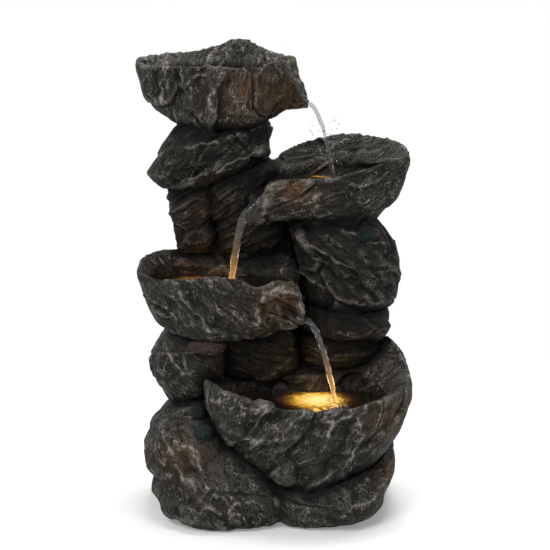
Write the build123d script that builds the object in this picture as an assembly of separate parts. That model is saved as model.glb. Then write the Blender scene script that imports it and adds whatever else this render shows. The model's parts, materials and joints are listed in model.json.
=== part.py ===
# Rock-pile cascade fountain cast in resin: four bowls on a pile of hollow boulders, with a pump
# chamber and a hinged door at the back. Millimetres, +Z up, -Y is the front.
# The origin is on the ground, under the middle of the fountain's box.
import math
import os
from collections import namedtuple

from build123d import *

# Castings
RESIN_WALL = 9.0
BACK_WALL = 17.0  # flat wall behind the pump chamber, thick enough to seat the door
BITE = 12.0  # how far a casting is bedded into the one that carries it
SQUARENESS = 2.6  # exponent of the rounded-square outline of a boulder
CHIP = 0.03  # share by which chipping moves a boulder's outline
SECTORS = 18
RIM_STEPS = 3  # lattice columns from one rim point to the next
TOP_FOLDS = 11
BASIN_FOLDS = 11
BASIN_FOLD_LEAN = 0.5
FOLD_DEPTH = 5.0

# How the pile stacks up
FOOT_HEIGHT = 3.0
FOOT_RADIUS = 12.0
LEFT_HEIGHT = 147.0
SHOULDER_BED = 58.0
SHOULDER_HEIGHT = 129.0
RIGHT_BASE_HEIGHT = 197.0
SEAM_X = 22.0  # where the two halves of the base meet
BASIN_BED = 48.0
BASIN_FLOOR = 38.0  # floors and rims are heights above the bowl's own bed
LEDGE = 192.0  # boulders stand on this ledge at the back of the basin
MID_LEFT_DROP = 74.0
MID_CENTER_DROP = 24.0
BACK_WALL_DROP = 12.0
THIRD_RISE = 64.0
THIRD_FLOOR = 44.0
NECK_RISE = 128.0
SLAB_HEAD = 46.0  # how far the neck's slab stands up in front of the upper boulder
SHELF_RISE = 106.0
SHELF_HEIGHT = 52.0
SECOND_RISE = 146.0
SECOND_FLOOR = 42.0
UPPER_RISE = 258.0
TOP_RISE = 84.0
TOP_FLOOR = 44.0

# Pump chamber in the base
CHAMBER_LEFT = -140.0
CHAMBER_RIGHT = 150.0
CHAMBER_FRONT = 17.0
CHAMBER_BACK = 161.0
CHAMBER_TOP = 228.0
CHAMBER_EDGE = 10.0

# Rear door
DOOR_X = -60.0
DOOR_WIDTH = 110.0
DOOR_HEIGHT = 100.0
DOOR_SILL = 82.0
DOOR_THICKNESS = 9.0
DOOR_GAP = 1.0
DOOR_STOP = 8.0
CATCH_STOP = 19.0  # wider stop at the free edge, where the magnets are
GASKET = 2.0
GASKET_WIDTH = 6.0
TOUCH = 0.2  # between the gasket and the closed door
KNUCKLE_RADIUS = 3.5
KNUCKLE_LENGTH = 10.0
KNUCKLE_GAP = 0.4
PIN_RADIUS = 1.5
LEAF_THICKNESS = 1.6
LEAF_WIDTH = 17.0
HINGE_SPREAD = 56.0
SCREW_RADIUS = 1.3
SCREW_HEAD_RADIUS = 2.6
SCREW_HEAD = 1.3
SCREW_LENGTH = 7.0
MAGNET_RADIUS = 4.0
MAGNET_THICKNESS = 3.0
MAGNET_SPREAD = 60.0
KNOB_RADIUS = 9.0
KNOB_LENGTH = 10.0
KNOB_STUD_RADIUS = 2.5
KNOB_INSET = 27.0
FIT = 0.05  # radial clearance of pins, shafts and plugs in their holes

# Sump, pump and the way of the water
TUB_LENGTH = 164.0
TUB_WIDTH = 96.0
TUB_HEIGHT = 58.0
TUB_WALL = 3.0
TUB_ROOM = 4.0  # between the tub and the back wall
RISER_X = -55.0
RISER_Y = 86.0
HOSE_BORE = 11.0
HOSE_WALL = 2.5
BARB_LENGTH = 20.0
BORE_ROOM = 1.0  # round hoses and cables that pass through a casting
CLAMP_WIDTH = 8.0
CLAMP_THICKNESS = 1.2
PUMP_SIZE = 46.0
PUMP_CORNER = 5.0
MOTOR_LENGTH = 48.0
VOLUTE_LENGTH = 18.0
INTAKE_LENGTH = 18.0
INTAKE_WALL = 2.5
INTAKE_SLOTS = 5
SPIGOT = 4.0
RUN_GAP = 1.0  # round the impeller
SLIDE_GAP = 0.3
CUP_HEIGHT = 5.0
CUP_RADIUS = 8.0
ROTOR_RADIUS = 11.0
ROTOR_LENGTH = 32.0
IMPELLER_RADIUS = 15.0
IMPELLER_PLATE = 2.0
VANES = 6
VANE_WIDTH = 7.0
VANE_THICKNESS = 2.0
SHAFT_RADIUS = 1.5
BUSH_LENGTH = 4.0
FRONT_BUSH_RADIUS = 3.5
INLET_RADIUS = 8.0
DIAL_RADIUS = 9.0
DIAL_THICKNESS = 3.0
DIAL_STUD_RADIUS = 3.0
FLANGE_RADIUS = 14.0
FLANGE_THICKNESS = 3.0
SEAL_THICKNESS = 2.0
NUT_RADIUS = 13.0
NUT_HEIGHT = 8.0
OVERFLOW_X = 15.0
OVERFLOW_RISE = 150.0
OVERFLOW_SEAT = 16.0  # Y of the flat that the overflow's flange is sealed to
OVERFLOW_LENGTH = 88.0
OVERFLOW_RADIUS = 9.0
OVERFLOW_WALL = 2.5
STRAINER_LENGTH = 16.0
STRAINER_SLOTS = 5

# Lights and wiring
LED_RADIUS = 15.0
LED_HEIGHT = 12.0
LED_FLOOR = 2.0
LED_SHOULDER = 2.5
LENS_THICKNESS = 3.0
LED_SEAL = 1.5
BOARD_THICKNESS = 1.6
DIODES = 3
DIODE_SIZE = 3.0
DIODE_HEIGHT = 1.0
CABLE_RADIUS = 2.0
CABLE_BEND = 16.0
JUNCTION_WIDTH = 22.0
JUNCTION_LENGTH = 78.0
JUNCTION_HEIGHT = 30.0
JUNCTION_GAP = 4.0
JUNCTION_Y = -2.0
JUNCTION_CORNER = 2.75
BASIN_ENTRY = 8.0  # cable entries along the junction box
SECOND_ENTRY = 22.0
LEAD_X = -177.0
LEAD_Y = 130.0
LEAD_EXIT_Z = 228.0
GLAND_RADIUS = 7.0
GLAND_NOSE = 30.0
GLAND_LENGTH = 44.0
GLAND_NUT_RADIUS = 10.5
RELIEF_WALL = 1.0  # round the lead at the thin end of a strain relief

# Pebbles
PEBBLE_ROWS = 8
PEBBLE_SECTORS = 12

# Mains lead
CORD_RADIUS = 3.5
ARC_SHARE = 0.45  # of the shorter run that an arc takes up at a corner of the route
COIL_X = -166.0
COIL_Y = 233.0
COIL_RADIUS = 51.0
COIL_TURNS = 5.25
COIL_PITCH = 7.6
COIL_END = 18.0
COIL_SAMPLES = 48  # points on each turn at which the gap to the next is measured
TIE_THICKNESS = 1.0
TIE_WIDTH = 8.0
TIE_GAP = 0.3
PLUG_RELIEF = 26.0
PLUG_LENGTH = 32.0
PLUG_WIDTH = 27.0
PLUG_CORNER = 4.5
PRONG_LENGTH = 17.0
PRONG_WIDTH = 6.4
PRONG_THICKNESS = 1.6
PRONG_PITCH = 12.7

ledge_z = BASIN_BED + LEDGE
third_bed = ledge_z + THIRD_RISE
neck_bed = third_bed + NECK_RISE
shelf_top = ledge_z + SHELF_RISE
second_bed = shelf_top + SECOND_RISE
upper_bed = third_bed + UPPER_RISE
top_bed = upper_bed + TOP_RISE
base_floor = FOOT_HEIGHT + RESIN_WALL

Level = namedtuple("Level", "share left right front back")
Rim = namedtuple("Rim", "x y z width lip keel", defaults=[0.0])
Folds = namedtuple("Folds", "count depth lean")  # lean is how far they turn round the bowl from foot to rim


# Lattice solids
def triangle(a, b, c):
    return Face(Wire.make_polygon([Vector(*a), Vector(*b), Vector(*c)], close=True))


def skin(rings, apex=None):
    """Solid through rings of equally many points, each counter-clockwise from above.
    The first ring is flat, and so is the last unless it closes on an apex."""
    count = len(rings[0])
    faces = [Face(Wire.make_polygon([Vector(*p) for p in rings[0]], close=True))]
    for low, high in zip(rings, rings[1:]):
        for k in range(count):
            n = (k + 1) % count
            if math.dist(low[k], high[n]) < math.dist(low[n], high[k]):
                faces += [triangle(low[k], low[n], high[n]), triangle(low[k], high[n], high[k])]
            else:
                faces += [triangle(low[k], low[n], high[k]), triangle(low[n], high[n], high[k])]
    if apex:
        faces += [triangle(rings[-1][k], rings[-1][(k + 1) % count], apex) for k in range(count)]
    else:
        faces.append(Face(Wire.make_polygon([Vector(*p) for p in rings[-1]], close=True)))
    return Solid(Shell(faces))


def rounded(share):
    """Signed power that turns a circle's cosine or sine into a rounded square's."""
    return math.copysign(abs(share) ** (2 / SQUARENESS), share)


def stone(bed, top, levels, tilt=(0, 0), phase=0.0, inset=0.0):
    """Boulder between two heights, drawn in by inset on every side. Its bed is tilted, its top level."""
    low, high = bed + inset, top - inset
    middle_x = (levels[0].left + levels[0].right) / 2
    middle_y = (levels[0].front + levels[0].back) / 2
    rings = []
    for row, level in enumerate(levels):
        centre_x = (level.left + level.right) / 2
        centre_y = (level.front + level.back) / 2
        half_x = (level.right - level.left) / 2 - inset
        half_y = (level.back - level.front) / 2 - inset
        ring = []
        for k in range(SECTORS):
            angle = 2 * math.pi * (k + 0.5 * (row % 2)) / SECTORS
            chip = 1 + CHIP * math.sin(3 * angle + phase + 1.9 * row)
            x = centre_x + half_x * chip * rounded(math.cos(angle))
            y = centre_y + half_y * chip * rounded(math.sin(angle))
            lean = tilt[0] * (x - middle_x) + tilt[1] * (y - middle_y)
            ring.append((x, y, low + level.share * (high - low) + (1 - level.share) * lean))
        rings.append(ring)
    return skin(rings)


def rim_loop(rim):
    """Rim points joined by a closed Catmull-Rom curve."""
    loop = []
    for k in range(len(rim)):
        a, b, c, d = (rim[(k + i - 1) % len(rim)] for i in range(4))
        for step in range(RIM_STEPS):
            t = step / RIM_STEPS
            mix = []
            for p, q, r, s in zip(a, b, c, d):
                bend = 2 * p - 5 * q + 4 * r - s + t * (3 * q - p - 3 * r + s)
                mix.append(q + t * (r - p + t * bend) / 2)
            loop.append(Rim(*mix))
    return loop


def bowl(bed, foot, rim, outside, hollow, floor, inside, folds=Folds(0, 0, 0)):
    """Bowl and the same bowl filled to its rim. Rim heights count from the bed.
    foot is (x, y, half width, half depth) of the flat it stands on, hollow the middle of the water.
    outside and inside are (reach, rise) steps from the foot, or the floor, to the rim.
    The front of the outside is folded between foot and rim, but for the spout."""
    loop = rim_loop(rim)
    foot_x, foot_y, foot_a, foot_b = foot
    rings = []
    for reach, rise in outside:
        ring = []
        for p in loop:
            angle = math.atan2(p.y - foot_y, p.x - foot_x)
            x = foot_x + foot_a * math.cos(angle)
            y = foot_y + foot_b * math.sin(angle)
            lift = rise + p.keel * (math.sqrt(min(reach, 1)) - rise)
            fold = folds.depth * math.cos(folds.count * (angle - folds.lean * rise))
            fold *= math.sin(math.pi * rise) * (1 - p.keel) * max(0, -math.sin(angle))
            ring.append((x + (p.x - x) * reach + fold * math.cos(angle),
                         y + (p.y - y) * reach + fold * math.sin(angle), bed + p.z * lift))
        rings.append(ring)
    inner = []
    for reach, rise in reversed(inside):
        ring = []
        for p in loop:
            share = reach * (1 - p.width / math.hypot(hollow[0] - p.x, hollow[1] - p.y))
            ring.append((hollow[0] + (p.x - hollow[0]) * share, hollow[1] + (p.y - hollow[1]) * share,
                         bed + floor + (p.lip - floor) * rise))
        inner.append(ring)
    lid = bed + sum(p.lip for p in loop) / len(loop)
    return skin(rings + inner), skin(rings + inner[:1], (hollow[0], hollow[1], lid))


# Plain solids
def largest(shape):
    return max(shape.solids(), key=lambda solid: solid.volume)


def block(x0, x1, y0, y1, z0, z1):
    return Pos((x0 + x1) / 2, (y0 + y1) / 2, (z0 + z1) / 2) * Box(x1 - x0, y1 - y0, z1 - z0)


def rod(start, end, radius, end_radius=None):
    """Round bar, or a cone, from one point to another."""
    axis = Vector(*end) - Vector(*start)
    plane = Plane(origin=start, z_dir=axis)
    align = (Align.CENTER, Align.CENTER, Align.MIN)
    if end_radius is None:
        return plane * Cylinder(radius, axis.length, align=align)
    return plane * Cone(radius, end_radius, axis.length, align=align)


def ring(start, end, radius, bore):
    return rod(start, end, radius) - rod(start, end, bore)


def cable(points, radius, bend):
    """Tube along straight runs joined by arcs."""
    path = FilletPolyline(*points, radius=bend)
    return sweep(Plane(origin=path @ 0, z_dir=path % 0) * Circle(radius), path=path)


# Bowls: rim points run counter-clockwise, seen from above
top_bowl, top_filled = bowl(
    bed=top_bed, foot=(-85, 55, 65, 50),
    rim=[Rim(-182, -8, 111, 24, 96), Rim(-130, -26, 116, 24, 98), Rim(-80, -28, 111, 24, 96),
         Rim(-25, -24, 112, 24, 96), Rim(22, -6, 118, 24, 97, 0.3), Rim(61, 32, 37, 46, 92, 1),
         Rim(38, 76, 118, 24, 97, 0.3), Rim(20, 112, 120, 24, 100), Rim(-20, 132, 131, 24, 102),
         Rim(-60, 138, 144, 24, 104), Rim(-110, 138, 131, 24, 102), Rim(-165, 132, 120, 24, 100),
         Rim(-212, 105, 121, 26, 100), Rim(-229, 57, 114, 26, 98), Rim(-215, 15, 111, 24, 96)],
    outside=[(0, 0), (0.15, 0.05), (0.4, 0.16), (0.66, 0.33), (0.8, 0.5), (0.88, 0.7), (0.97, 0.88),
             (1, 1)],
    hollow=(-85, 62), floor=TOP_FLOOR, inside=[(0.8, 0), (0.92, 0.2), (0.98, 0.6), (1, 1)],
    folds=Folds(TOP_FOLDS, FOLD_DEPTH, 0))

second_bowl, second_filled = bowl(
    bed=second_bed, foot=(108, 32, 62, 52),
    rim=[Rim(-43, -18, 8, 58, 66, 0.3), Rim(-6, -36, 62, 24, 69), Rim(22, -50, 86, 22, 71),
         Rim(75, -60, 89, 22, 72), Rim(130, -54, 99, 22, 74), Rim(182, -35, 112, 24, 77),
         Rim(224, 10, 115, 24, 81), Rim(231, 55, 121, 26, 84), Rim(198, 100, 134, 28, 89),
         Rim(125, 112, 139, 30, 94), Rim(60, 108, 127, 30, 89), Rim(5, 85, 101, 28, 81),
         Rim(-26, 26, 72, 26, 73)],
    outside=[(0, 0), (0.28, 0.15), (0.6, 0.34), (0.8, 0.55), (0.94, 0.78), (1.01, 0.92), (1, 1)],
    hollow=(105, 27), floor=SECOND_FLOOR, inside=[(0.6, 0), (0.85, 0.22), (0.96, 0.6), (1, 1)])

third_bowl, third_filled = bowl(
    bed=third_bed, foot=(-85, -2, 78, 50),
    rim=[Rim(-150, -64, 107, 20, 96), Rim(-100, -82, 115, 22, 98), Rim(-50, -84, 113, 22, 96),
         Rim(-22, -83, 98, 24, 94), Rim(6, -86, 112, 26, 92), Rim(33, -79, 104, 30, 90, 0.2),
         Rim(50, -62, 62, 40, 89, 0.4), Rim(55, -36, 28, 52, 89, 0.4), Rim(50, 2, 96, 24, 92),
         Rim(30, 46, 126, 24, 101),
         Rim(-50, 68, 134, 26, 104), Rim(-140, 68, 136, 26, 104), Rim(-207, 43, 133, 24, 104),
         Rim(-228, -3, 113, 22, 101), Rim(-206, -42, 108, 20, 98)],
    outside=[(0, 0), (0.23, 0.06), (0.5, 0.2), (0.72, 0.42), (0.87, 0.66), (0.97, 0.86), (1, 1)],
    hollow=(-85, -5), floor=THIRD_FLOOR, inside=[(0.62, 0), (0.85, 0.22), (0.96, 0.6), (1, 1)])

basin, basin_filled = bowl(
    bed=BASIN_BED, foot=(65, -78, 60, 52),
    rim=[Rim(75, -163, 168, 28, 156), Rim(-10, -149, 176, 28, 158), Rim(-88, -102, 188, 28, 162),
         Rim(-113, -33, 186, 34, 164), Rim(-80, 47, 190, 60, 170), Rim(40, 78, 207, 80, 177),
         Rim(150, 68, 230, 78, 182), Rim(205, 30, 240, 56, 180), Rim(232, -28, 200, 40, 172),
         Rim(212, -93, 180, 34, 164), Rim(152, -144, 174, 30, 160)],
    outside=[(0, 0), (0.2, 0.09), (0.46, 0.22), (0.7, 0.39), (0.9, 0.56), (1.02, 0.76), (1.03, 0.9),
             (1, 1)],
    hollow=(65, -50), floor=BASIN_FLOOR, inside=[(0.62, 0), (0.85, 0.25), (0.96, 0.6), (1, 1)],
    folds=Folds(BASIN_FOLDS, FOLD_DEPTH, BASIN_FOLD_LEAN))


# Boulders: each level is (share of the height, left, right, front, back)
def casting(bed, top, levels, neighbours, tilt=(0, 0), phase=0.0):
    """Hollow boulder that fits against its neighbours, and the same boulder filled."""
    levels = [Level(*level) for level in levels]
    filled = stone(bed, top, levels, tilt, phase)
    void = stone(bed, top, levels, tilt, phase, RESIN_WALL)
    return largest(filled.cut(void, *neighbours)), filled


upper_rock, upper_filled = casting(
    upper_bed, top_bed + BITE,
    [(0, -165, -20, 15, 117), (0.08, -190, -10, 3, 127), (0.3, -211, -4, -10, 135),
     (0.6, -190, -2, -5, 132), (0.85, -168, 4, 3, 129), (1, -148, -6, 12, 122)],
    [top_filled, second_filled], tilt=(0.26, 0), phase=0.4)

right_rock, right_filled = casting(
    shelf_top - BITE, second_bed + BITE,
    [(0, 66, 188, -10, 97), (0.1, 56, 207, -25, 107), (0.42, 48, 222, -35, 117),
     (0.68, 41, 210, -32, 115), (0.84, 36, 190, -28, 112), (1, 40, 168, -15, 100)],
    [second_filled, third_filled], phase=1.1)

neck_left_rock, neck_left_filled = casting(
    neck_bed, upper_bed + BITE,
    [(0, -158, -100, 44, 72), (0.15, -168, -96, 36, 75), (0.5, -174, -95, 26, 76),
     (0.85, -172, -98, 24, 75), (1, -162, -104, 30, 72)],
    [third_filled, upper_filled], phase=2.0)

neck_slab, neck_slab_filled = casting(
    neck_bed, upper_bed + SLAB_HEAD,
    [(0, -92, 6, 46, 72), (0.2, -100, 14, 34, 74), (0.6, -104, 14, 16, 75),
     (0.85, -96, 10, 8, 74), (1, -80, -10, 16, 70)],
    [third_filled, upper_filled, second_filled, neck_left_filled], phase=0.9)

rear_column, rear_filled = casting(
    CHAMBER_TOP - BITE, upper_bed + BITE,
    [(0, -140, 40, 55, 150), (0.1, -148, 50, 50, 157), (0.5, -140, 64, 52, 155),
     (0.9, -135, 40, 55, 152), (1, -128, 28, 60, 145)],
    [third_filled, second_filled, upper_filled, right_filled, neck_left_filled, neck_slab_filled,
     basin_filled], phase=0.2)

shelf_rock, shelf_filled = casting(
    shelf_top - SHELF_HEIGHT, shelf_top,
    [(0, 62, 186, -14, 82), (0.25, 50, 198, -24, 90), (0.75, 50, 203, -26, 92), (1, 60, 196, -18, 85)],
    [right_filled, basin_filled, third_filled, rear_filled], tilt=(-0.1, 0), phase=2.6)

mid_left_rock, mid_left_filled = casting(
    ledge_z - MID_LEFT_DROP, third_bed + BITE,
    [(0, -150, -110, 2, 77), (0.11, -177, -95, -23, 102), (0.34, -204, -80, -38, 117),
     (0.48, -211, -75, -41, 120), (0.65, -205, -75, -38, 120), (0.8, -191, -80, -33, 115),
     (1, -165, -95, -13, 97)],
    [third_filled, basin_filled, rear_filled], phase=1.7)

mid_center_rock, mid_center_filled = casting(
    ledge_z - MID_CENTER_DROP, third_bed + BITE,
    [(0, -92, 40, 2, 80), (0.2, -102, 48, -8, 90), (0.7, -100, 46, -16, 92), (1, -86, 34, 0, 85)],
    [third_filled, basin_filled, rear_filled, mid_left_filled, shelf_filled], phase=0.6)

back_wall_rock, back_wall_filled = casting(
    ledge_z - BACK_WALL_DROP, shelf_top - SHELF_HEIGHT + BITE,
    [(0, 45, 172, 10, 100), (0.25, 38, 182, 2, 112), (0.75, 38, 186, -6, 112), (1, 48, 176, 4, 100)],
    [basin_filled, rear_filled, shelf_filled, mid_center_filled], phase=2.2)

# Base: three lobes and the pump chamber, hollow as one, in two halves
base_lobes = [
    (FOOT_HEIGHT, LEFT_HEIGHT, 0.0,
     [(0, -168, 40, -146, 137), (0.12, -194, 50, -160, 150), (0.29, -202, 50, -158, 155),
      (0.5, -198, 45, -142, 155), (0.73, -180, 40, -110, 150), (1, -140, 30, -63, 137)]),
    (SHOULDER_BED, SHOULDER_HEIGHT, 1.3,
     [(0, -195, -60, -95, 107), (0.2, -217, -50, -113, 120), (0.37, -221, -45, -115, 122),
      (0.56, -214, -50, -105, 120), (0.76, -200, -60, -85, 115), (0.91, -172, -80, -53, 102),
      (1, -150, -90, -33, 87)]),
    (FOOT_HEIGHT, RIGHT_BASE_HEIGHT, 2.1,
     [(0, -10, 166, -142, 147), (0.09, -20, 192, -156, 155), (0.22, -25, 205, -156, 160),
      (0.32, -25, 213, -148, 160), (0.45, -20, 214, -128, 160), (0.6, -10, 212, -96, 157),
      (0.8, 0, 195, -53, 147), (1, 10, 170, -13, 137)])]
lobes = []
voids = []
for bed, height, phase, levels in base_lobes:
    levels = [Level(*level) for level in levels]
    lobes.append(stone(bed, bed + height, levels, phase=phase))
    voids.append(stone(bed, bed + height, levels, phase=phase, inset=RESIN_WALL))
chamber = block(CHAMBER_LEFT, CHAMBER_RIGHT, CHAMBER_FRONT, CHAMBER_BACK, FOOT_HEIGHT, CHAMBER_TOP)
upright = chamber.edges().filter_by(Axis.Z)
upper = chamber.edges().group_by(Axis.Z)[-1]
chamber = chamfer(upright + upper, CHAMBER_EDGE)
inner_back = CHAMBER_BACK - BACK_WALL
rear_wall = block(CHAMBER_LEFT, CHAMBER_RIGHT, inner_back, CHAMBER_BACK, FOOT_HEIGHT, CHAMBER_TOP)
voids = [void.cut(rear_wall) for void in voids]
room = block(CHAMBER_LEFT + RESIN_WALL, CHAMBER_RIGHT - RESIN_WALL, CHAMBER_FRONT + RESIN_WALL,
             inner_back, base_floor, CHAMBER_TOP - RESIN_WALL)
base_filled = lobes[0].fuse(*lobes[1:], chamber)
base = base_filled.cut(*voids, room, basin_filled, mid_left_filled, mid_center_filled, back_wall_filled,
                       rear_filled)

# Rear door in its rebate
door_left = DOOR_X - DOOR_WIDTH / 2
door_right = DOOR_X + DOOR_WIDTH / 2
door_top = DOOR_SILL + DOOR_HEIGHT
door_z = DOOR_SILL + DOOR_HEIGHT / 2
door_inner = CHAMBER_BACK - DOOR_THICKNESS
seat_y = door_inner - GASKET
rebate = block(door_left - DOOR_GAP, door_right + DOOR_GAP, seat_y, CHAMBER_BACK,
               DOOR_SILL - DOOR_GAP, door_top + DOOR_GAP)
doorway = block(door_left + CATCH_STOP, door_right - DOOR_STOP, inner_back, CHAMBER_BACK,
                DOOR_SILL + DOOR_STOP, door_top - DOOR_STOP)
base = base.cut(rebate, doorway)
rear_door = block(door_left, door_right, door_inner, CHAMBER_BACK, DOOR_SILL, door_top)
door_gasket = block(door_left, door_right, seat_y, door_inner - TOUCH, DOOR_SILL, door_top)
door_gasket -= block(door_left + GASKET_WIDTH, door_right - GASKET_WIDTH, seat_y, door_inner,
                     DOOR_SILL + GASKET_WIDTH, door_top - GASKET_WIDTH)

magnet_x = door_left + (GASKET_WIDTH + CATCH_STOP) / 2
door_magnets = []
catch_magnets = []
for z in (door_z - MAGNET_SPREAD / 2, door_z + MAGNET_SPREAD / 2):
    inset = (magnet_x, door_inner, z)
    door_magnets.append(rod(inset, (magnet_x, door_inner + MAGNET_THICKNESS, z), MAGNET_RADIUS))
    face = door_inner - 2 * TOUCH
    catch_magnets.append(rod((magnet_x, face - MAGNET_THICKNESS, z), (magnet_x, face, z), MAGNET_RADIUS))
rear_door = rear_door.cut(*door_magnets)
base = base.cut(*catch_magnets)

knob_x = door_left + KNOB_INSET
knob_seat = (knob_x, CHAMBER_BACK, door_z)
knob_end = (knob_x, CHAMBER_BACK + KNOB_LENGTH, door_z)
knob_neck = rod(knob_seat, (knob_x, CHAMBER_BACK + KNOB_LENGTH / 2, door_z), KNOB_RADIUS / 2)
knob_head = rod((knob_x, CHAMBER_BACK + KNOB_LENGTH / 3, door_z), knob_end, KNOB_RADIUS)
knob_head = fillet(knob_head.edges(), KNOB_LENGTH / 5)
knob_stud = rod((knob_x, door_inner, door_z), knob_seat, KNOB_STUD_RADIUS)
door_knob = knob_neck + knob_head + knob_stud
rear_door -= rod((knob_x, door_inner, door_z), knob_seat, KNOB_STUD_RADIUS + FIT)

# Hinges on the outside of the door
hinge_x = door_right + DOOR_GAP / 2
hinge_y = CHAMBER_BACK + KNUCKLE_RADIUS + KNUCKLE_GAP
hinge_height = 3 * KNUCKLE_LENGTH + 2 * KNUCKLE_GAP
leaf_edge = KNUCKLE_RADIUS + 2 * KNUCKLE_GAP
screw_reach = (leaf_edge + LEAF_WIDTH) / 2


def hinge_leaf(z, side, knuckles):
    """Leaf on one side of the axis, with the knuckles numbered from below."""
    near, far = sorted((hinge_x + side * leaf_edge, hinge_x + side * LEAF_WIDTH))
    leaf = block(near, far, CHAMBER_BACK, CHAMBER_BACK + LEAF_THICKNESS, z, z + hinge_height)
    for k in knuckles:
        low = z + k * (KNUCKLE_LENGTH + KNUCKLE_GAP)
        inner, outer = sorted((hinge_x, hinge_x + side * leaf_edge))
        leaf += block(inner, outer, CHAMBER_BACK, CHAMBER_BACK + LEAF_THICKNESS, low, low + KNUCKLE_LENGTH)
        leaf += rod((hinge_x, hinge_y, low), (hinge_x, hinge_y, low + KNUCKLE_LENGTH), KNUCKLE_RADIUS)
    return leaf - rod((hinge_x, hinge_y, z), (hinge_x, hinge_y, z + hinge_height), PIN_RADIUS + FIT)


def hinge_screw(x, z, radius, head_radius):
    seat = CHAMBER_BACK + LEAF_THICKNESS
    shank = rod((x, seat - SCREW_LENGTH, z), (x, seat, z), radius)
    return shank + rod((x, seat, z), (x, seat + SCREW_HEAD, z), head_radius)


frame_leaves = []
door_leaves = []
hinge_pins = []
frame_screws = []
door_screws = []
for middle in (door_z - HINGE_SPREAD / 2, door_z + HINGE_SPREAD / 2):
    z = middle - hinge_height / 2
    frame_leaf = hinge_leaf(z, 1, (0, 2))
    door_leaf = hinge_leaf(z, -1, (1,))
    for screw_z in (middle - hinge_height / 4, middle + hinge_height / 4):
        frame_hole = hinge_screw(hinge_x + screw_reach, screw_z, SCREW_RADIUS + FIT, SCREW_RADIUS + FIT)
        door_hole = hinge_screw(hinge_x - screw_reach, screw_z, SCREW_RADIUS + FIT, SCREW_RADIUS + FIT)
        frame_leaf -= frame_hole
        base -= frame_hole
        door_leaf -= door_hole
        rear_door -= door_hole
        frame_screws.append(hinge_screw(hinge_x + screw_reach, screw_z, SCREW_RADIUS, SCREW_HEAD_RADIUS))
        door_screws.append(hinge_screw(hinge_x - screw_reach, screw_z, SCREW_RADIUS, SCREW_HEAD_RADIUS))
    frame_leaves.append(frame_leaf)
    door_leaves.append(door_leaf)
    hinge_pins.append(rod((hinge_x, hinge_y, z), (hinge_x, hinge_y, z + hinge_height), PIN_RADIUS))

# Sump tub and pump: the pump's axis runs along X, its outlet stands under the riser
volute_left = RISER_X - VOLUTE_LENGTH / 2
volute_right = RISER_X + VOLUTE_LENGTH / 2
motor_left = volute_left - MOTOR_LENGTH
tub_left = motor_left - JUNCTION_GAP - 2 * TUB_WALL
tub_y = inner_back - TUB_ROOM - TUB_WIDTH / 2
tub_floor = base_floor + TUB_WALL
sump_tub = block(tub_left, tub_left + TUB_LENGTH, tub_y - TUB_WIDTH / 2, tub_y + TUB_WIDTH / 2,
                 base_floor, base_floor + TUB_HEIGHT)
sump_tub -= block(tub_left + TUB_WALL, tub_left + TUB_LENGTH - TUB_WALL, tub_y - TUB_WIDTH / 2 + TUB_WALL,
                  tub_y + TUB_WIDTH / 2 - TUB_WALL, tub_floor, base_floor + TUB_HEIGHT)
pump_low = tub_floor + CUP_HEIGHT
pump_top = pump_low + PUMP_SIZE
axis_z = pump_low + PUMP_SIZE / 2
half = PUMP_SIZE / 2


def on_axis(x):
    return (x, RISER_Y, axis_z)


def on_riser(z):
    return (RISER_X, RISER_Y, z)


def pump_block(x0, x1, inset=0.0):
    return block(x0, x1, RISER_Y - half + inset, RISER_Y + half - inset, pump_low + inset, pump_top - inset)


well_bottom = volute_left - ROTOR_LENGTH - RUN_GAP - BUSH_LENGTH
pump_housing = fillet(pump_block(motor_left, volute_left).edges().filter_by(Axis.X), PUMP_CORNER)
pump_housing -= rod(on_axis(well_bottom), on_axis(volute_left), ROTOR_RADIUS + RUN_GAP)

impeller_left = volute_left + RUN_GAP
vane_left = impeller_left + IMPELLER_PLATE
vane_right = vane_left + VANE_WIDTH
barb_radius = HOSE_BORE / 2 - FIT
water_radius = barb_radius - HOSE_WALL
volute_cover = fillet(pump_block(volute_left, volute_right).edges().filter_by(Axis.X), PUMP_CORNER)
volute_cover += pump_block(volute_right, volute_right + SPIGOT, INTAKE_WALL + SLIDE_GAP)
volute_cover += rod(on_riser(axis_z), on_riser(pump_top + BARB_LENGTH), barb_radius)
volute_cover -= rod(on_axis(volute_left), on_axis(vane_right + RUN_GAP), IMPELLER_RADIUS + RUN_GAP)
volute_cover -= rod(on_axis(volute_left), on_axis(volute_right + SPIGOT), INLET_RADIUS)
volute_cover -= rod(on_riser(axis_z), on_riser(pump_top + BARB_LENGTH), water_radius)
bar_half = FRONT_BUSH_RADIUS + FIT + INTAKE_WALL / 2
bush_bar = block(volute_right, volute_right + SPIGOT, RISER_Y - INLET_RADIUS, RISER_Y + INLET_RADIUS,
                 axis_z - bar_half, axis_z + bar_half)
bush_bar -= rod(on_axis(volute_right), on_axis(volute_right + SPIGOT), FRONT_BUSH_RADIUS + FIT)
volute_cover += bush_bar

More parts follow.
